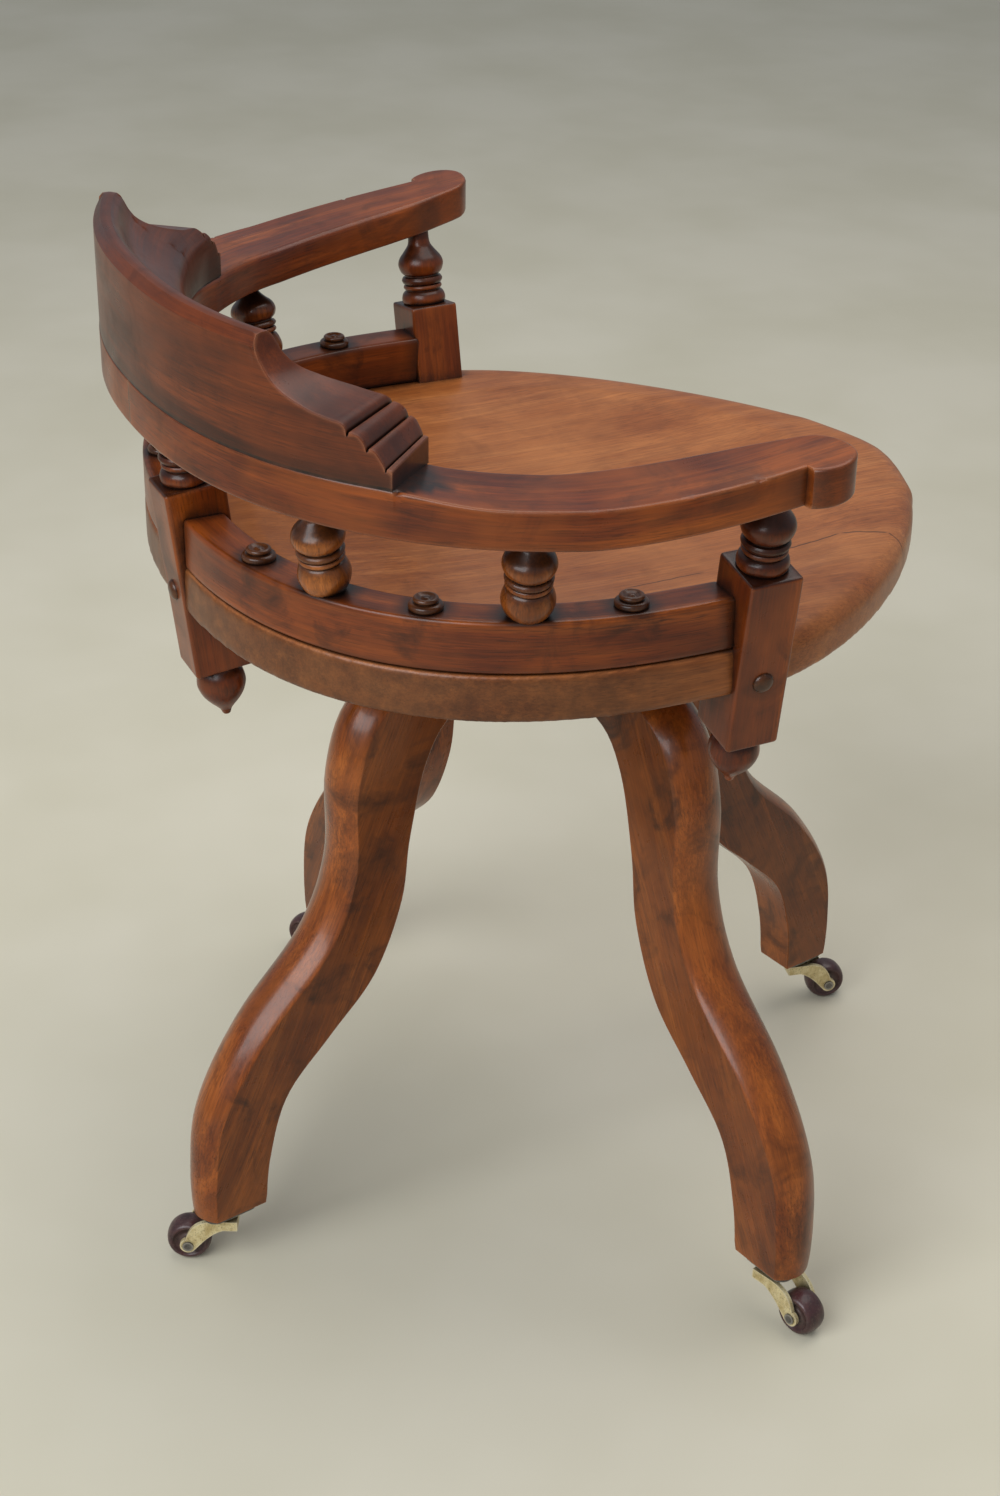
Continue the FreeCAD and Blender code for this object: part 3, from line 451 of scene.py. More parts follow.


# the dirt colour also paints shade; grime sets how dark the painted crevice shade and grime get, reach how far it
# reaches
frameLook = {"marked": True, "shaded": False, "deep": tone(80, 28, 6), "middle": tone(118, 50, 13),
             "light": tone(152, 76, 22), "dark": tone(44, 17, 6), "worn": tone(178, 106, 56),
             "dirt": tone(22, 13, 10), "staining": 0.62, "rubbing": 0.6, "grimeAndShade": 0.96, "reach": 0.018,
             "gloss": 0.24, "shine": 0.32, "coat": 0.08, "contrast": 0.0}
# the arms' worn tone is pale: on their rubbed arrises it paints a reflection as well as wear
armLook = dict(frameLook, shaded=True, light=tone(160, 82, 24), worn=tone(206, 148, 108), staining=0.45,
               rubbing=0.8, contrast=0.06)
railLook = dict(frameLook, shaded=True, staining=0.8)
postLook = dict(frameLook, shaded=True)
crestLook = dict(frameLook, shaded=True, deep=tone(62, 22, 5), middle=tone(90, 36, 9), light=tone(120, 54, 16),
                 worn=tone(168, 106, 74), staining=0.5)
legLook = dict(frameLook, shaded=True, deep=tone(102, 44, 10), middle=tone(142, 70, 20),
               light=tone(174, 96, 36), gloss=0.22, staining=0.75, coat=0.15)
turnedLook = dict(frameLook, shaded=True, deep=tone(96, 44, 12), middle=tone(142, 74, 24),
                  light=tone(176, 102, 42), staining=0.45, gloss=0.22, coat=0.15)
# cracks in the seat: one end, other end, half width
seatCracks = (((-0.1434, 0.0108), (-0.1422, -0.0503), 0.0010), ((-0.1342, -0.1179), (-0.1294, -0.1619), 0.0014),
              ((-0.1294, -0.1619), (-0.1423, -0.1924), 0.0013), ((-0.1423, -0.1924), (-0.1568, -0.1968), 0.0010))
seatLook = dict(frameLook, shaded=True, deep=tone(142, 76, 31), middle=tone(166, 96, 45),
                light=tone(188, 119, 64), dark=tone(92, 46, 18), worn=tone(200, 134, 80), dirt=tone(42, 20, 10),
                staining=0.26, gloss=0.30, grimeAndShade=0.9, contrast=0.12, scratches=seatCracks)
hiddenLook = dict(frameLook, marked=False)

postWood = polishedWood("postWood", postLook)
armWood = polishedWood("armWood", armLook)
railWood = polishedWood("railWood", railLook)
crestWood = polishedWood("crestWood", crestLook)
legWood = polishedWood("legWood", legLook)
seatWood = polishedWood("seatWood", seatLook)
turnedWood = polishedWood("turnedWood", turnedLook)
hubWood = polishedWood("hubWood", hiddenLook)

metalLooks = {
    "castBrass": {"bright": tone(222, 206, 160), "dull": tone(186, 164, 112), "dirt": tone(66, 52, 38),
                  "rubbed": tone(236, 226, 196), "rough": 0.34, "metallic": 0.45},
    "darkSteel": {"bright": tone(112, 108, 104), "dull": tone(70, 66, 64), "dirt": tone(38, 30, 26),
                  "rubbed": tone(170, 166, 160), "rough": 0.36, "metallic": 0.85},
    "castIron": {"bright": tone(66, 62, 60), "dull": tone(44, 40, 38), "dirt": tone(48, 30, 20),
                 "rubbed": tone(110, 104, 98), "rough": 0.5, "metallic": 0.6},
    "wheelStuff": {"bright": tone(72, 42, 42), "dull": tone(48, 27, 29), "dirt": tone(96, 80, 72),
                   "rubbed": tone(110, 84, 78), "rough": 0.26, "metallic": 0.0}}
castBrass, darkSteel, castIron, wheelStuff = (oldMetal(*item) for item in metalLooks.items())
print("finishes mixed")


# Seat board

seatShape = {"halfWidth": 0.265, "depth": 0.260, "centreY": 0.012, "power": 2.39, "noseDepth": 0.262,
             "nosePower": 1.52, "noseBlunt": 0.004, "frontY": -0.020, "underside": 0.508, "thickness": 0.034,
             "dishWidth": 0.204, "dishLength": 0.216, "dishY": -0.008, "dishDepth": 0.015, "ballHeight": 0.030,
             "edgeRound": 0.014, "fallDepth": 0.0052, "fallStartY": -0.03, "fallEndY": -0.25, "fallFloor": 0.006,
             "cutAt": 0.4}
seatTop = seatShape["underside"] + seatShape["thickness"]


def seatOutline(shape):
    nose = dict(shape, depth=shape["noseDepth"], centreY=shape["frontY"], power=shape["nosePower"])
    side = [ovalPoint(nose, turn) for turn in range(90, 161, 5)]
    tip = Vector((0, shape["frontY"] - shape["noseDepth"] + shape["noseBlunt"], 0))
    otherSide = [Vector((-point.x, point.y, 0)) for point in reversed(side)]
    front = smoothRun([tuple(point) for point in side + [tip] + otherSide], 4)
    back = [ovalPoint(shape, turn) for turn in range(-90, 91, 2)]
    line = [Vector(point) for point in front] + back
    return [point + zWay * shape["underside"] for point in line]


def makeSeat(shape):
    seat = flatBlank("seat", seatOutline(shape))
    editing(seat)
    bpy.ops.mesh.extrude_region_move(TRANSFORM_OT_translate={"value": (0, 0, shape["thickness"])})
    editDone()
    outwardFaces(seat)
    editing(seat, 'DESELECT')
    editDone()
    for edge in seat.data.edges:
        ends = [seat.data.vertices[i].co for i in edge.vertices]
        edge.select = all(p.z > seatTop - 0.001 and p.y < shape["frontY"] - 0.012 for p in ends)
    bpy.ops.object.mode_set(mode='EDIT')
    bpy.ops.mesh.select_mode(type='EDGE')
    bpy.ops.mesh.bevel(offset=shape["edgeRound"], segments=6, affect='EDGES')
    bpy.ops.mesh.select_mode(type='VERT')
    editDone()
    rise = shape["ballHeight"] - shape["dishDepth"]
    rim = math.sqrt(1 - (rise / shape["ballHeight"]) ** 2)
    letGo()
    bpy.ops.mesh.primitive_uv_sphere_add(segments=128, ring_count=96, radius=1,
                                         location=(0, shape["dishY"], seatTop + rise))
    ball = bpy.context.object
    ball.scale = (shape["dishWidth"] / rim, shape["dishLength"] / rim, shape["ballHeight"])
    applyPlace(ball)
    cutAway(seat, ball)
    worn(seat, 0.0026, 12)
    # the top falls away a little towards the front edge
    floor = shape["underside"] + shape["fallFloor"]
    for vertex in seat.data.vertices:
        if vertex.co.z > floor:
            fall = easing(-vertex.co.y, -shape["fallStartY"], -shape["fallEndY"])
            vertex.co.z -= shape["fallDepth"] * fall * (vertex.co.z - floor) / (seatTop - floor)
    return seat


seat = makeSeat(seatShape)
markGrain(seat, -yWay, xWay, zWay, seatShape["cutAt"])
# towards the back the sides are darker, and the underside gets painted shade
markShade(seat, lambda place, facing: 0.74 * easing(1 - facing.z, 0.35, 0.8) * easing(place.y, -0.06, 0.10))
dress(seat, "seatPanel", "seat", seatWood, ["seat_board"], 60)
print("seat made:", len(seat.data.vertices), "points")


# Gallery rails on the seat's edge

railShape = {"thickness": 0.029, "height": 0.035, "frontY": -0.020, "postBack": -0.0013, "postSide": 0.0187,
             "arris": 0.0018, "cutAt": {"right": 1.1, "left": 2.3}}
railPath, railLength, railLine = bendingPath("railPath", seatShape, railShape["thickness"] / 2, railShape["frontY"])


def makeRails(shape):
    start = alongPath(railLine, lambda point: point.y > shape["postBack"])
    end = alongPath(railLine, lambda point: point.x > -shape["postSide"])
    rails = []
    for side in ("right", "left"):
        x0, x1 = (start, end) if side == "right" else (railLength - end, railLength - start)
        rail = squaredBlock(((x0 + x1) / 2, 0, seatTop + shape["height"] / 2),
                            (x1 - x0, shape["thickness"], shape["height"]), shape["arris"], 3)
        worn(rail, 0.0015, 3)
        markGrain(rail, xWay, yWay, zWay, shape["cutAt"][side])
        applyModifier(rail, 'CURVE', object=railPath, deform_axis='POS_X')
        rails.append(dress(rail, "galleryRail" + side.title(), "seat", railWood,
                           ["gallery_rail_" + side], 60))
    return rails


rails = makeRails(railShape)
railTop = seatTop + railShape["height"]
# buttons and spindles take turns along the rail, from the front post to the back
fittings = {"turns": (81.5, 66.8, 51.1, 33.6, 18.6), "frontLean": 14.0, "backLean": 12.0, "tenon": 0.012,
            "buttonFoot": 0.011, "spindleFoot": 0.0155, "halo": 0.011, "postGrime": 0.012, "spindleCut": 11.0,
            "nextCut": 0.83, "buttonCut": 14, "inBow": 0.6}


def railMiddle(turn):
    return ovalPoint(seatShape, turn, railShape["thickness"] / 2)


def railShade(place, facing):
    # black halos of old polish round the feet of the turnings and along the posts, and painted shade on what faces
    # down
    worst = 0.0
    for number, turn in enumerate(fittings["turns"]):
        foot = railMiddle(turn)
        radius = fittings["spindleFoot"] if number % 2 else fittings["buttonFoot"]
        away = math.hypot(abs(place.x) - foot.x, place.y - foot.y) - radius
        worst = max(worst, 1 - away / fittings["halo"])
    worst *= easing(place.z, railTop - 0.004, railTop - 0.0005)
    reach = fittings["postGrime"]
    frontPost = 1 - (place.y + 0.001) / reach
    backPost = 1 - (abs(place.x) - railShape["postSide"]) / reach if place.y > 0 else 0
    return max(worst, 0.8 * frontPost, 0.8 * backPost, 0.5 * easing(-facing.z, 0.2, 0.7))


for rail in rails:
    markShade(rail, railShade)
print("rails bent")


# Arm bow, two halves

bowShape = {"halfWidth": 0.307, "depth": 0.3015, "centreY": -0.005, "power": 2.25, "width": 0.050,
            "thickness": 0.0255, "riseBack": 0.0615, "tipY": -0.066, "armRise": 0.020, "riseStartY": 0.112,
            "risePower": 1.25, "knobRound": 0.0215, "knobStand": 0.0155, "notch": 0.0358, "notchStep": 0.0008,
            "side": 0.0254, "tipRound": 0.0024, "outerRound": 0.0017, "innerRound": 0.0046, "bottomRound": 0.0018,
            "backSwell": 0.0058, "swellY": (0.158, 0.222), "cutAt": {"right": 3.1, "left": 4.7}}
bowBottom = railTop + bowShape["riseBack"]
bowTop = bowBottom + bowShape["thickness"]
bowPath, bowLength, bowLine = bendingPath("bowPath", bowShape, bowShape["width"] / 2, bowShape["tipY"])


def armLift(shape, y):
    part = max((shape["riseStartY"] - y) / (shape["riseStartY"] - shape["tipY"]), 0.0)
    return shape["armRise"] * part ** shape["risePower"]


def backSwell(y):
    # the bow is thicker across the back, where the crest sits on it
    return bowShape["backSwell"] * easing(y, *bowShape["swellY"])


# how far the inner edge stands from the middle line, going back from the tip
innerReach = ((0.0, -14.5), (1.0, -7.0), (3.0, -1.0), (6.5, 5.0), (11.7, 10.4), (19.0, 13.6), (29.0, 16.6),
              (42.0, 20.6), (55.0, 24.2), (82.0, 28.6), (109.0, 31.0), (135.0, 32.4), (165.0, 33.0), (225.0, 33.2),
              (290.0, 35.0), (340.0, 33.0), (430.0, 26.0), (600.0, 25.0))


def armReach(shape, run, inset, outer):
    # half width on one side at a place from the tip, for a plan outline drawn in by inset
    run = max(run, inset)
    if not outer:
        front = 1 - easing(run, 0.004, 0.016)
        reach = readOff(innerReach, (run - inset * front) * 1000)
        return reach / 1000 - inset * (1 - front)
    round = shape["knobRound"] - inset
    bulge = shape["knobStand"] + math.sqrt(max(round ** 2 - (run - shape["knobRound"]) ** 2, 0.0))
    side = shape["side"] - inset
    return bulge + (side - bulge) * min(max((run - shape["notch"]) / shape["notchStep"], 0), 1)


def armRing(shape, run):
    # one closed section of the arm: bottom, outer side, top, inner side
    high = shape["thickness"]
    near = easing(run, 0.01, 0.07)
    tip, low = shape["tipRound"], shape["bottomRound"]
    outerTop = tip + (shape["outerRound"] - tip) * near
    innerTop = tip + (shape["innerRound"] - tip) * near
    steps = 6

    def spot(outer, inset, z):
        reach = armReach(shape, run, inset, outer)
        return Vector((max(run, inset), reach if outer else -reach, bowBottom + z))

    def corner(outer, radius, top):
        made = []
        for i in range(steps + 1):
            angle = math.radians(90 * i / steps)
            drop = radius * (1 - math.sin(angle))
            made.append(spot(outer, radius * (1 - math.cos(angle)), high - drop if top else drop))
        return made

    highOuter = corner(True, outerTop, True)
    highInner = corner(False, innerTop, True)[::-1]
    ring = corner(True, low, False)[::-1] + [spot(True, 0, high * part) for part in (0.3, 0.6)] + highOuter
    shares = (0.03, 0.1, 0.25, 0.42, 0.58, 0.75, 0.9, 0.97)
    ring += [highOuter[-1].lerp(highInner[0], share) for share in shares]
    ring += highInner + [spot(False, 0, high * part) for part in (0.6, 0.3)] + corner(False, low, False)
    ring += [ring[-1].lerp(ring[0], share) for share in (0.05, 0.35, 0.65, 0.95)]
    return ring


# dents in the outer arris: place from the tip, size, depth
dents = {"right": ((0.077, 0.0026, 0.0020), (0.118, 0.0012, 0.0012), (0.170, 0.0018, 0.0014),
                   (0.274, 0.0022, 0.0020)),
         "left": ((0.094, 0.0014, 0.0012), (0.205, 0.0012, 0.0010))}
# sections in millimetres from the tip, close together round it and at the notch, then even ones to the back
tipStations = (0, 0.2, 0.6, 1.2, 2, 3, 4.2, 5.6, 7.2, 9, 11, 13.5, 16.5, 20, 23.5, 27, 30, 32, 33.5, 34.5, 35.2,
               35.6, 35.8, 36.0, 36.3, 36.6, 36.9, 37.5, 38.5, 40, 42, 45, 49, 54)
lastStations = (2.2, 1.2, 0.6)
evenStations = {"start": 0.06, "count": 120}
setBack = {"right": 0.011, "left": 0.0}  # the near arm's tip stands further back


def makeArm(shape, nicks, back):
    # a straight bar from the tip to the middle of the back, seen with the tip at x = 0
    last = bowLength / 2
    start, count = evenStations["start"], evenStations["count"]
    stations = [run / 1000 for run in tipStations] + [last - run / 1000 for run in lastStations]
    stations += [start + (last - start) * i / count for i in range(1, count + 1)]
    for run, size, depth in nicks:
        stations += [run + size * (i / 4) for i in range(-6, 7)]
    rings = [armRing(shape, run) for run in sorted(set(round(value, 6) for value in stations))]
    for ring in rings:
        for point in ring:
            point.x = back + point.x * (last - back) / last
    bar = skin("arm", rings)
    for vertex in bar.data.vertices:
        for run, size, depth in nicks:
            arris = Vector((run, shape["side"] - 0.0009, bowTop))
            aside = ((vertex.co - arris) * Vector((1, 0.7, 0.7))).length
            if aside < size * 1.4:
                push = depth * (1 - (aside / size / 1.4) ** 2) ** 2
                vertex.co.z -= push * 0.7
                vertex.co.y -= push * 0.8
    return bar


def crestSeam(place):
    # height over the joint between bow and crest
    return place.z - bowTop - armLift(bowShape, place.y) - backSwell(place.y)


# where the darkening starts and is full: heights at the seam, Y under the crest, in and behind the notch, X at the
# joint
armGrime = {"seam": (-0.0014, -0.0004), "underCrest": (0.165, 0.180), "crestHalf": 0.233,
            "pastCrest": (0.208, 0.211), "notchIn": (-0.036, -0.026), "notchOut": (-0.019, 0.004),
            "joint": (0.0006, 0.0014)}


def armShade(place, facing):
    # grime along the crest's foot and at the joint of the halves, darker in the notch, painted shade underneath
    crestAt = armGrime["underCrest" if abs(place.x) < armGrime["crestHalf"] else "pastCrest"]
    edge = easing(crestSeam(place), *armGrime["seam"]) * easing(place.y, *crestAt)
    notch = easing(place.y, *armGrime["notchIn"]) * (1 - easing(place.y, *armGrime["notchOut"]))
    notch *= easing(abs(facing.x), 0.3, 0.8)
    joint = 0.85 * (1 - easing(abs(place.x), *armGrime["joint"]))
    return max(edge, 0.5 * notch, joint, 0.35 * easing(-facing.z, 0.3, 0.9))


for side in ("right", "left"):
    arm = makeArm(bowShape, dents[side], setBack[side])
    markGrain(arm, xWay, yWay, zWay, bowShape["cutAt"][side])
    if side == "left":
        arm.scale = (-1, 1, 1)
        arm.location.x = bowLength
        applyPlace(arm)
        outwardFaces(arm)
    applyModifier(arm, 'CURVE', object=bowPath, deform_axis='POS_X')
    for vertex in arm.data.vertices:
        share = (vertex.co.z - bowBottom) / bowShape["thickness"]
        vertex.co.z += armLift(bowShape, vertex.co.y) + backSwell(vertex.co.y) * share
    markShade(arm, armShade)
    dress(arm, "arm" + side.title(), "seat", armWood, ["arm_" + side], 28)
print("arm bow bent")


# Crest on the back of the bow

crestShape = {"endX": 0.2297, "chordShare": 0.925, "spread": 0.36, "chamfer": 0.0006, "stepTop": 81.5, "top": 81.9,
              "topFrom": 81, "topFaces": (17.3, 16.2), "cutAt": 6.2}
# its section: height over the bow and how far across each face stands, in millimetres
crestOuter = ((0, 25), (74, 25), (78, 24.2), (81, 21.5), (82, 17))
crestInner = ((0, -25), (26, -25), (32, -24.6), (38.5, -22.5), (44.5, -17.5), (50, -10.5), (56, -3.5), (62.5, 2.0),
              (69, 5.4), (74.5, 7.6), (78.6, 9.5), (81.2, 12.5), (82, 16))
# its stepped end: run along the bow and height
stepRuns = (((0.0, 16.8), (0.6, 17.5)), ((3.2, 17.9),), ((3.5, 16.4),), ((4.3, 16.4),),
            ((4.6, 19.0), (6.6, 22.6), (9.9, 27.2), (12.6, 28.7), (14.2, 28.8)), ((14.6, 26.8),),
            ((15.8, 26.8),), ((16.4, 29.6), (18.1, 33.2), (21.0, 35.8), (24.4, 36.8), (26.6, 36.9)),
            ((27.0, 34.6),), ((28.2, 34.6),),
            ((28.8, 38.6), (30.6, 41.0), (34.0, 42.2), (39.0, 42.8), (55.6, 46.0), (75.6, 54.0), (87.5, 66.4),
             (91.6, 76.0), (93.0, 81.5)))


def crestRing(x, height):
    # one closed section: up the outer face, across the top, down the hollow inner face
    rim = min(crestShape["chamfer"] * 1000, height * 0.4)
    high = height - rim
    outer = [0.0, 6.6, 7.5, 9.0] + [9.0 + (high - 9.0) * (i / 9) ** 0.8 for i in range(1, 10)]
    spread = 1 + crestShape["spread"] * (1 - easing(min(x, bowLength - x), 0.37, 0.55))
    left, right = readOff(crestOuter, high) - rim, readOff(crestInner, high) + rim
    if height > crestShape["topFrom"]:
        left, right = crestShape["topFaces"]
    ring = [(readOff(crestOuter, h), h) for h in outer]
    ring += [(left + (right - left) * share, height) for share in (0.0, 0.06, 0.2, 0.4, 0.6, 0.8, 0.94, 1.0)]
    ring += [(readOff(crestInner, h), h) for h in [high * (1 - i / 25) for i in range(26)]]
    ring += [(-25 + 50 * share, 0) for share in (0.03, 0.35, 0.65, 0.97)]
    ring = [(across * spread if across < 0 else across, up) for across, up in ring]
    return [Vector((x, across / 1000, bowTop + up / 1000)) for across, up in ring]


def makeCrest(shape):
    middleShare = 1 - bowShape["width"] / 2 / bowShape["halfWidth"]
    end = alongPath(bowLine, lambda point: point.x > -shape["endX"] * middleShare and point.y > 0)
    steps = runPoints(stepRuns, 8)
    steps = [point for i, point in enumerate(steps) if not i or point[0] > steps[i - 1][0] + 0.01]
    halfway = bowLength / 2
    plan = [(end + run * shape["chordShare"] / 1000, min(height, shape["stepTop"])) for run, height in steps]
    start = plan[-1][0]
    plan += [(start + (halfway - start) * i / 36, shape["top"]) for i in range(1, 37)]
    plan += [(bowLength - x, height) for x, height in reversed(plan[:-1])]
    crest = skin("crest", [crestRing(x, height) for x, height in plan])
    markGrain(crest, xWay, yWay, zWay, shape["cutAt"])
    applyModifier(crest, 'CURVE', object=bowPath, deform_axis='POS_X')
    for vertex in crest.data.vertices:
        vertex.co.z = max(vertex.co.z, bowTop + backSwell(vertex.co.y) - 0.0003)
    return crest


crest = makeCrest(crestShape)
# a dark line at the seam, and the crest darker towards its foot
markShade(crest, lambda place, facing: max(easing(-crestSeam(place), -0.0022, -0.0010),
                                           0.45 * easing(-crestSeam(place), -0.016, -0.002)))
dress(crest, "crestRail", "seat", crestWood, ["crest_rail"], 28)
print("crest laid and bent:", len(crest.data.vertices), "points")


# Posts: square block, turned neck above, turned drop below

postShape = {"width": 0.037, "depth": 0.042, "aboveRail": 0.019, "arris": 0.0013, "tenon": 0.012,
             "plugAbove": 0.0125, "frontY": -0.020,
             "front": {"below": 0.040, "beyond": 0.016, "lean": 10.0, "rake": 1.4},
             "back": {"below": 0.049, "beyond": 0.0085, "lean": 6.7, "rake": 0.0}}
# turned profiles: (radius, height) in millimetres, from the block's faces
neckRuns = (((15.0, 0.0), (16.4, 1.8), (16.8, 4.6), (15.9, 8.0), (14.2, 10.0)), ((12.9, 10.7),),
            ((12.9, 11.2),), ((14.3, 12.0), (14.8, 13.4), (14.2, 14.8)), ((12.9, 15.4),),
            ((14.6, 16.2), (15.7, 18.6), (14.6, 21.0)), ((12.8, 21.6),), ((12.8, 22.4),),
            ((14.6, 23.6), (16.2, 26.0), (17.4, 30.6), (16.0, 35.4), (12.2, 40.4), (8.8, 45.4), (8.0, 50.0)))
dropRuns = (((0.0, -42.0), (2.4, -41.2), (3.4, -39.0), (4.2, -37.0)),
            ((7.0, -33.6), (11.0, -29.0), (14.6, -23.6), (16.6, -18.0), (16.8, -14.0), (15.6, -8.0),
             (13.2, -3.4), (12.4, 0.4)))
plugRuns = (((7.0, -4.0), (7.0, 0.6)), ((6.5, 1.6), (5.2, 2.7), (3.0, 3.4), (0.0, 3.6)))


# beads and shaft by their heights, and how black the upper side of a ball gets
neckGrime = {"lowBead": (0.0108, 0.0154), "highBead": (0.0154, 0.0222), "shaft": 0.049, "most": 0.82,
             "full": 0.75}
beadGrime = {"low": 0.10, "high": 0.62, "shaft": 0.42}


def turnedShade(look, height, facing):
    # old polish is black on what faces up and on the high bead, rubbed on what faces down
    if look["lowBead"][0] < height < look["lowBead"][1]:
        return beadGrime["low"]
    if look["highBead"][0] < height < look["highBead"][1]:
        return beadGrime["high"]
    if height > look["shaft"]:
        return beadGrime["shaft"]
    return look["most"] * easing(facing, 0.0, look["full"])


def socketHeight(y, tenon):
    # how high over the rail a turning ends inside the bow
    return bowBottom + armLift(bowShape, y) + tenon * fittings["inBow"] - railTop


def postPlace(x, y, outAngle, lean, rake):
    place = Matrix.Rotation(math.radians(lean), 4, 'Y')
    place = Matrix.Rotation(math.radians(outAngle), 4, 'Z') @ place
    place = Matrix.Rotation(math.radians(-rake), 4, 'X') @ place
    return Matrix.Translation((x, y, railTop)) @ place


def makePost(name, x, y, outAngle, end, shift):
    low = -(railShape["height"] + seatShape["thickness"] + end["below"])
    high = postShape["aboveRail"]
    block = squaredBlock((0, 0, (low + high) / 2), (postShape["depth"], postShape["width"], high - low),
                         postShape["arris"], 2)
    worn(block, 0.0011, 3)
    bowAt = socketHeight(y, postShape["tenon"]) / math.cos(math.radians(end["lean"]))
    shaftTop = max((bowAt - high) * 1000, 51.0)
    neck = turnedPiece("neck", neckRuns + (((8.0, shaftTop),),))
    neck.location.z = high - 0.0004
    applyPlace(neck)
    drop = turnedPiece("drop", dropRuns)
    drop.location.z = low
    applyPlace(drop)
    post = joined(name, [block, neck, drop])
    markGrain(post, zWay, xWay, yWay, shift)

    def postShade(place, facing):
        if place.z > high - 0.0006:
            return turnedShade(neckGrime, place.z - high, facing.z)
        if place.z > low:
            return 0.9 * easing(facing.z, 0.3, 0.8)
        return 0.55 * easing(facing.z, 0.0, 0.6)

    markShade(post, postShade)
    place = postPlace(x, y, outAngle, end["lean"], end["rake"])
    applyPlace(post, place)
    plug = turnedPiece("plug", plugRuns, sides=40)
    plug.rotation_euler = (0, math.radians(90), 0)
    plugZ = -(railShape["height"] + seatShape["thickness"] - postShape["plugAbove"])
    plug.location = (postShape["depth"] / 2, 0, plugZ)
    applyPlace(plug)
    markGrain(plug, xWay, yWay, zWay, shift + 0.3)
    markShade(plug, lambda place, facing: 0.85)
    applyPlace(plug, place)
    return post, plug


frontEnd, backEnd = postShape["front"], postShape["back"]
sideX = seatShape["halfWidth"] + frontEnd["beyond"] - postShape["depth"] / 2
backY = seatShape["centreY"] + seatShape["depth"] + backEnd["beyond"] - postShape["depth"] / 2
plugs = []
# place, the way out, which end's values, where it was cut
for node, *plan in (("post_front_left", sideX, postShape["frontY"], 0, frontEnd, 7.7),
                    ("post_front_right", -sideX, postShape["frontY"], 180, frontEnd, 8.3),
                    ("post_back", 0.0, backY, 90, backEnd, 9.9)):
    post, plug = makePost(node, *plan)
    parts = node.split("_")
    dress(post, "post" + "".join(word.title() for word in parts[1:]), "seat", postWood, [node], 40)
    plugs.append(plug)
dress(joined("postPlugs", plugs), "postPlugs", "seat", turnedWood, ["post_plugs"], 50)
print("posts set")


# Spindles and buttons on the rails

spindleRuns = (((11.6, -1.0), (13.4, 1.6), (15.6, 5.6), (17.0, 11.6), (15.7, 17.4), (14.2, 20.6)),
               ((12.8, 21.6),), ((12.8, 22.1),), ((14.2, 22.8), (14.8, 24.2), (14.2, 25.6)), ((12.8, 26.2),),
               ((14.4, 27.0), (15.4, 28.8), (14.4, 30.6)), ((12.7, 31.3),), ((12.7, 32.0),),
               ((14.4, 33.2), (16.0, 35.2), (17.0, 39.4), (15.2, 44.2), (10.6, 48.6), (7.1, 52.8), (6.2, 57.0)))
buttonRuns = (((9.6, -0.3), (10.7, 0.4), (11.0, 1.8), (10.6, 3.4), (9.2, 4.4), (7.4, 4.5)), ((7.0, 4.9),),
              ((7.9, 5.6), (8.0, 6.8), (7.2, 7.8), (6.0, 8.0)), ((5.0, 7.3), (3.6, 6.7), (2.6, 7.2)),
              ((1.6, 7.8), (0.0, 7.9)))


def outwardTurn(turn):
    along = railMiddle(turn + 0.5) - railMiddle(turn - 0.5)
    return math.degrees(math.atan2(along.x, -along.y))


spindleGrime = {"lowBead": (0.0218, 0.0262), "highBead": (0.0262, 0.0316), "shaft": 0.053, "most": 0.78,
                "full": 0.8}


def makeSpindle(turn, lean, shift):
    foot = railMiddle(turn)
    shaftTop = socketHeight(foot.y, fittings["tenon"]) / math.cos(math.radians(lean)) * 1000
    spindle = turnedPiece("spindle", spindleRuns + (((6.2, shaftTop),),))
    markGrain(spindle, zWay, xWay, yWay, shift)
    markShade(spindle, lambda place, facing: turnedShade(spindleGrime, place.z, facing.z))
    place = Matrix.Rotation(math.radians(outwardTurn(turn)), 4, 'Z') @ Matrix.Rotation(math.radians(lean), 4, 'Y')
    applyPlace(spindle, Matrix.Translation((foot.x, foot.y, railTop)) @ place)
    return spindle


shift = fittings["spindleCut"]
for sideName, side in (("left", 1), ("right", -1)):
    for where, turn, lean in (("front", fittings["turns"][1], fittings["frontLean"]),
                              ("back", fittings["turns"][3], fittings["backLean"])):
        spindle = makeSpindle(side * turn, lean, shift)
        shift += fittings["nextCut"]
        dress(spindle, "spindle" + sideName.title() + where.title(), "seat", turnedWood,
              ["spindle_" + sideName + "_" + where], 50)

buttons = []
firstButton = turnedPiece("button", buttonRuns, 5, 56)
for side in (1, -1):
    for turn in fittings["turns"][0::2]:
        spot = railMiddle(side * turn)
        button = copied(firstButton, "button")
        markGrain(button, xWay, yWay, zWay, fittings["buttonCut"] + turn / 10 + side)
        markShade(button, lambda place, facing: 0.82)
        applyPlace(button, Matrix.Translation((spot.x, spot.y, railTop)) @ Matrix.Rotation(turn, 4, 'Z'))
        buttons.append(button)
thrownAway(firstButton)
dress(joined("railButtons", buttons), "railButtons", "seat", turnedWood, ["rail_buttons"], 50)
print("spindles and buttons turned")


# Legs

corners = ("front", "right", "rear", "left")
legShape = {"width": 0.042, "ankle": 0.037, "foot": 0.034, "crown": 0.0055, "corner": 0.0006, "kneeZ": 0.240,
            "ankleZ": 0.110, "stations": 64, "plank": (0.42, 0, -0.907), "nextCut": (0.31, 0.17, 0.09)}
# its side view: distance out from the middle and height, in millimetres
legFront = ((29, 452), (122, 447), (166, 424), (184, 375), (185.5, 308), (209, 253), (265, 197), (302, 137),
            (310, 84), (310, 47))
legBack = ((29, 413), (89, 408), (116, 378), (132, 318), (140, 266), (164, 213), (203, 175), (240, 137), (256, 88),
           (260, 47))


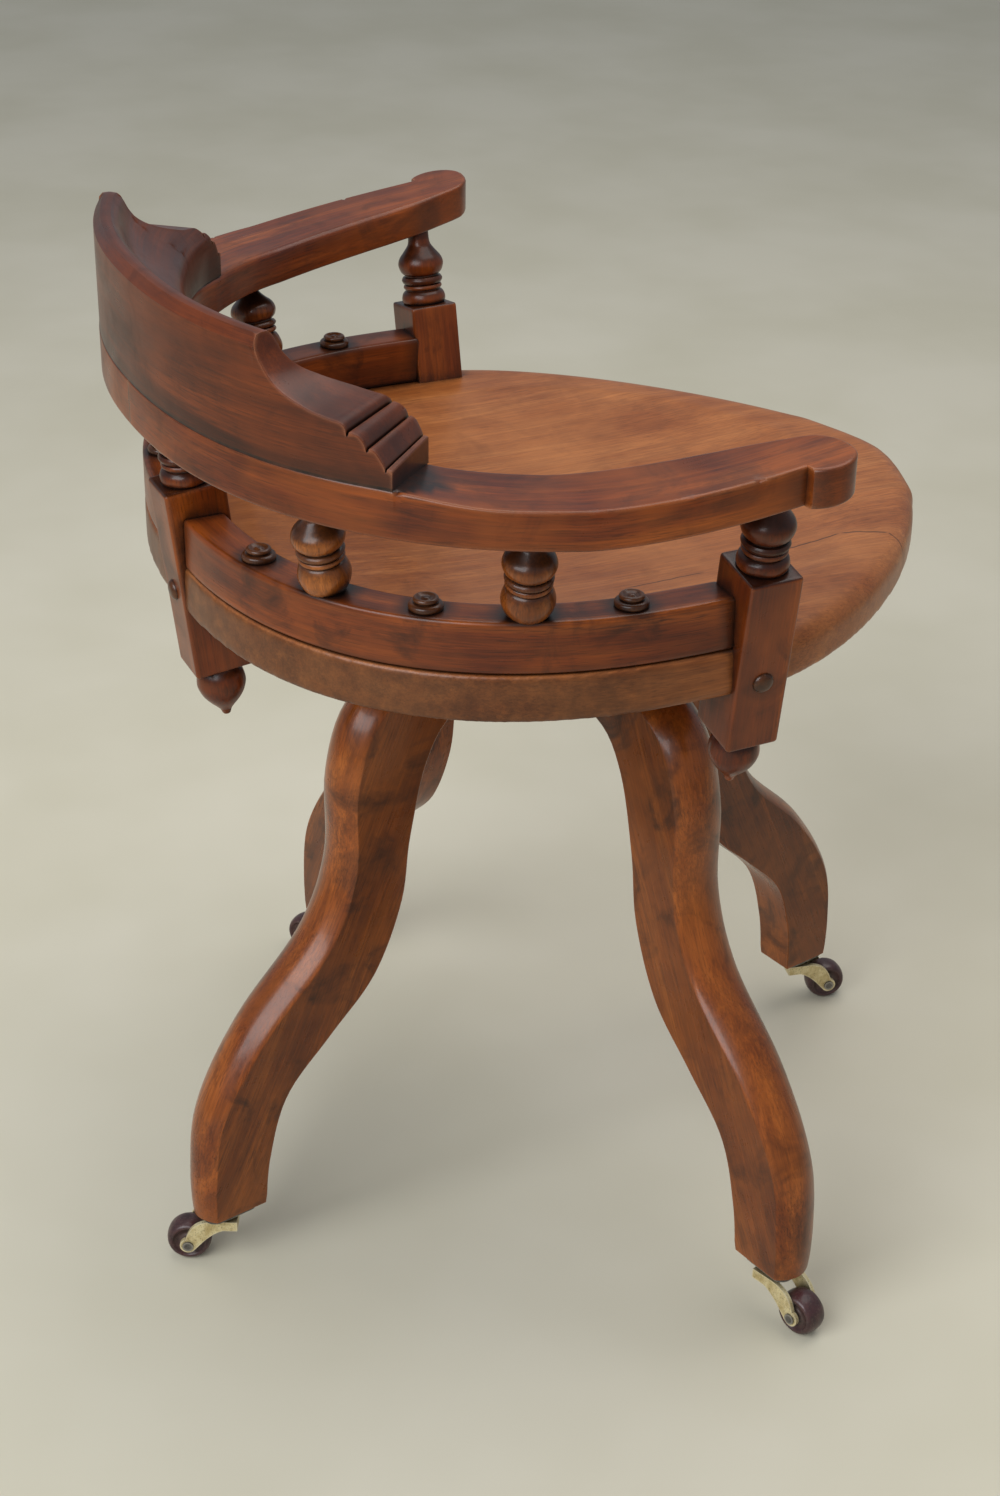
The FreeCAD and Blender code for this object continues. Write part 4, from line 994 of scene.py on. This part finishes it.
def spacedOut(line, count):
    lengths = [0.0]
    for a, b in zip(line, line[1:]):
        lengths.append(lengths[-1] + math.dist(a, b))
    made = []
    for i in range(count + 1):
        wanted = lengths[-1] * i / count
        j = max(k for k in range(len(line)) if lengths[k] <= wanted + 1e-9)
        j = min(j, len(line) - 2)
        t = (wanted - lengths[j]) / (lengths[j + 1] - lengths[j])
        made.append(tuple(p + (q - p) * t for p, q in zip(line[j], line[j + 1])))
    return made


def legWidthAt(z):
    points = ((0.042, legShape["foot"]), (legShape["ankleZ"], legShape["ankle"]),
              (legShape["kneeZ"], legShape["width"]), (0.5, legShape["width"]))
    for (z0, w0), (z1, w1) in zip(points, points[1:]):
        if z <= z1:
            return w0 + (w1 - w0) * easing(z, z0, z1)
    return legShape["width"]


def makeLeg(shape):
    # a section drawn flat and pulled down the leg, turned and resized at each step
    front, back = ([Vector((x / 1000, 0, z / 1000)) for x, z in spacedOut(smoothRun(line, 10), shape["stations"])]
                   for line in (legFront, legBack))
    stations = [(f, b) for f, b in zip(front, back) if f.x > 0.050]
    f, b = stations[0]
    depth, width = (f - b).length, legWidthAt(f.z)
    half, corner, crown = width / 2, shape["corner"], shape["crown"]
    crownLine = [(half - 0.0006 - (width - 0.0012) * i / 12, -crown * (abs(i - 6) / 6) ** 2) for i in range(13)]
    section = [(half, -crown - corner)] + crownLine + [(-half, -crown - corner)]
    section += [(-half, -depth + corner), (-half + corner, -depth), (half - corner, -depth),
                (half, -depth + corner)]
    out = (f - b).normalized()
    leg = flatBlank("plainLeg", [f + yWay * side + out * deep for side, deep in section])
    editing(leg)
    for (f0, b0), (f1, b1) in zip(stations, stations[1:]):
        centre = (f1 + b1) / 2
        bpy.ops.mesh.extrude_region_move(TRANSFORM_OT_translate={"value": centre - (f0 + b0) / 2})
        old, new = f0 - b0, f1 - b1
        bend = math.atan2(new.x, new.z) - math.atan2(old.x, old.z)
        bpy.ops.transform.rotate(value=-bend, orient_axis='Y', center_override=centre)
        thinner = new.length / old.length
        narrower = legWidthAt(f1.z) / legWidthAt(f0.z)
        bpy.ops.transform.resize(value=(thinner, narrower, thinner), center_override=centre)
    bpy.ops.transform.resize(value=(0.985, 0.97, 1), center_override=(stations[-1][0] + stations[-1][1]) / 2)
    editDone()
    outwardFaces(leg)
    return leg


plankWay = Vector(legShape["plank"]).normalized()
plainLeg = makeLeg(legShape)
markGrain(plainLeg, plankWay, yWay, plankWay.cross(yWay), 0.0)
# darker on the two side faces, and painted shade on what faces down
markShade(plainLeg, lambda place, facing: 0.30 * easing(abs(facing.y), 0.70, 0.97)
          + 0.25 * easing(-facing.z, 0.3, 0.9))
legs = []
for number, name in enumerate(corners):
    centre = Vector(joints["caster_swivel_" + name]["pos_m"])
    leg = copied(plainLeg, "leg")
    for item in leg.data.attributes["grain"].data:
        item.vector = Vector(item.vector) + Vector(legShape["nextCut"]) * number
    applyPlace(leg, Matrix.Rotation(math.atan2(centre.y, centre.x), 4, 'Z'))
    legs.append(dress(leg, "leg" + name.title(), "base", legWood, ["leg_" + name], 24))
thrownAway(plainLeg)
print("legs shaped:", len(legs[0].data.vertices), "points each")


# Caster wheels

wheelRuns = (((2.6, -6.6), (4.6, -7.0), (6.0, -6.2)), ((8.0, -6.0), (10.6, -7.4)),
             ((12.4, -9.0), (14.4, -8.2), (15.9, -5.2), (16.45, -1.6), (16.5, 0.0), (16.45, 1.6), (15.9, 5.2),
              (14.4, 8.2), (12.4, 9.0), (10.6, 7.4)), ((8.0, 6.0), (6.0, 6.2)), ((4.6, 7.0), (2.6, 6.6)))
firstWheel = turnedPiece("wheel", wheelRuns, sides=80)
for name in corners:
    joint = joints["wheel_roll_" + name]
    axle = Vector(joint["axis"]).normalized()
    wheel = copied(firstWheel, "wheel")
    applyPlace(wheel, Matrix.Translation(joint["pos_m"]) @ zWay.rotation_difference(axle).to_matrix().to_4x4())
    dress(wheel, "casterWheel" + name.title(), "wheel_" + name, wheelStuff, ["caster_wheel_" + name], 40)
thrownAway(firstWheel)
print("wheels turned")


# Model pieces that keep their shape get their finish

def refinish(names, material):
    for name in names:
        piece = nodes[name]
        if not piece.material_slots:
            piece.data.materials.append(material)
        for holder in piece.material_slots:
            holder.material = material


refinish(["caster_horn_" + name for name in corners], castBrass)
refinish(["caster_plate_" + name for name in corners] + ["caster_axle_" + name for name in corners], darkSteel)
refinish(["post_bolts", "rail_screws", "crest_screws", "seat_screws", "socket_screws", "caster_screws",
          "cotter_pin", "swivel_pivot", "retaining_washer"], darkSteel)
refinish(["seat_spider", "hub_socket"], castIron)
refinish(["thrust_washer"], castBrass)
refinish(["base_hub"], hubWood)
for path in (railPath, bowPath):
    thrownAway(path)
print("model pieces refinished")


# Floor, light and camera

room = {"floorDark": tone(203, 196, 174), "floorLight": tone(211, 204, 184), "floorRough": 0.6, "floorZ": -0.0004,
        "floorSize": 24, "air": (0.84, 0.91, 1.0, 1), "airStrength": 0.36}
lamps = {"windowLight": {"place": (-1.3, 2.4, 2.3), "aim": (0, 0, 0.45), "size": (2.7, 2.1), "watts": 96,
                         "colour": (0.93, 0.97, 1.0)},
         "ceilingLight": {"place": (0.3, -0.6, 3.0), "aim": (0, 0, 0.3), "size": (2.6, 2.6), "watts": 44,
                          "colour": (1.0, 0.97, 0.93)}}


def makeFloor():
    letGo()
    bpy.ops.mesh.primitive_plane_add(size=room["floorSize"], location=(0, 0, room["floorZ"]))
    floor = bpy.context.object
    floor.name = "floor"
    sheet = Sheet("floorFinish")
    place = sheet.node("TexCoord").outputs["Object"]
    mottle = sheet.noise(place, 3.0, 3.0, 0.55)
    colour = sheet.ramp(mottle, ((0.35, room["floorDark"]), (0.65, room["floorLight"])))
    sheet.link(colour, sheet.shader.inputs["Base Color"])
    sheet.shader.inputs["Roughness"].default_value = room["floorRough"]
    floor.data.materials.append(sheet.material)


def softLamp(name, place, aim, size, watts, colour):
    light = bpy.data.lights.new(name, 'AREA')
    light.shape = 'RECTANGLE'
    light.size, light.size_y = size
    light.energy = watts
    light.color = colour
    lamp = bpy.data.objects.new(name, light)
    lamp.location = place
    lamp.rotation_euler = (Vector(aim) - Vector(place)).to_track_quat('-Z', 'Y').to_euler()
    bpy.context.scene.collection.objects.link(lamp)


def makeWorld():
    world = bpy.data.worlds.new("room")
    bpy.context.scene.world = world
    world.use_nodes = True
    background = world.node_tree.nodes["Background"]
    background.inputs["Color"].default_value = room["air"]
    background.inputs["Strength"].default_value = room["airStrength"]


viewOfPhoto = {"place": (-1.4716, 0.7197, 1.2438), "yaw": -25.03, "down": 28.96, "roll": 0.88, "lens": 90.94}


def makeCamera(view):
    yaw, down, roll = (math.radians(view[key]) for key in ("yaw", "down", "roll"))
    ahead = Vector((math.cos(yaw) * math.cos(down), math.sin(yaw) * math.cos(down), -math.sin(down)))
    level = Vector((math.sin(yaw), -math.cos(yaw), 0))
    above = level.cross(ahead)
    right = math.cos(roll) * level + math.sin(roll) * above
    up = math.cos(roll) * above - math.sin(roll) * level
    data = bpy.data.cameras.new("camera")
    data.sensor_fit = 'HORIZONTAL'
    data.sensor_width = 36
    data.lens = view["lens"]
    data.clip_end = 60
    camera = bpy.data.objects.new("camera", data)
    camera.matrix_world = Matrix.Translation(view["place"]) @ Matrix((right, up, -ahead)).transposed().to_4x4()
    bpy.context.scene.collection.objects.link(camera)
    bpy.context.scene.camera = camera


makeFloor()
makeWorld()
for name, values in lamps.items():
    softLamp(name, **values)
makeCamera(viewOfPhoto)
bpy.context.scene.view_settings.view_transform = 'Standard'
print("floor, light and camera set")
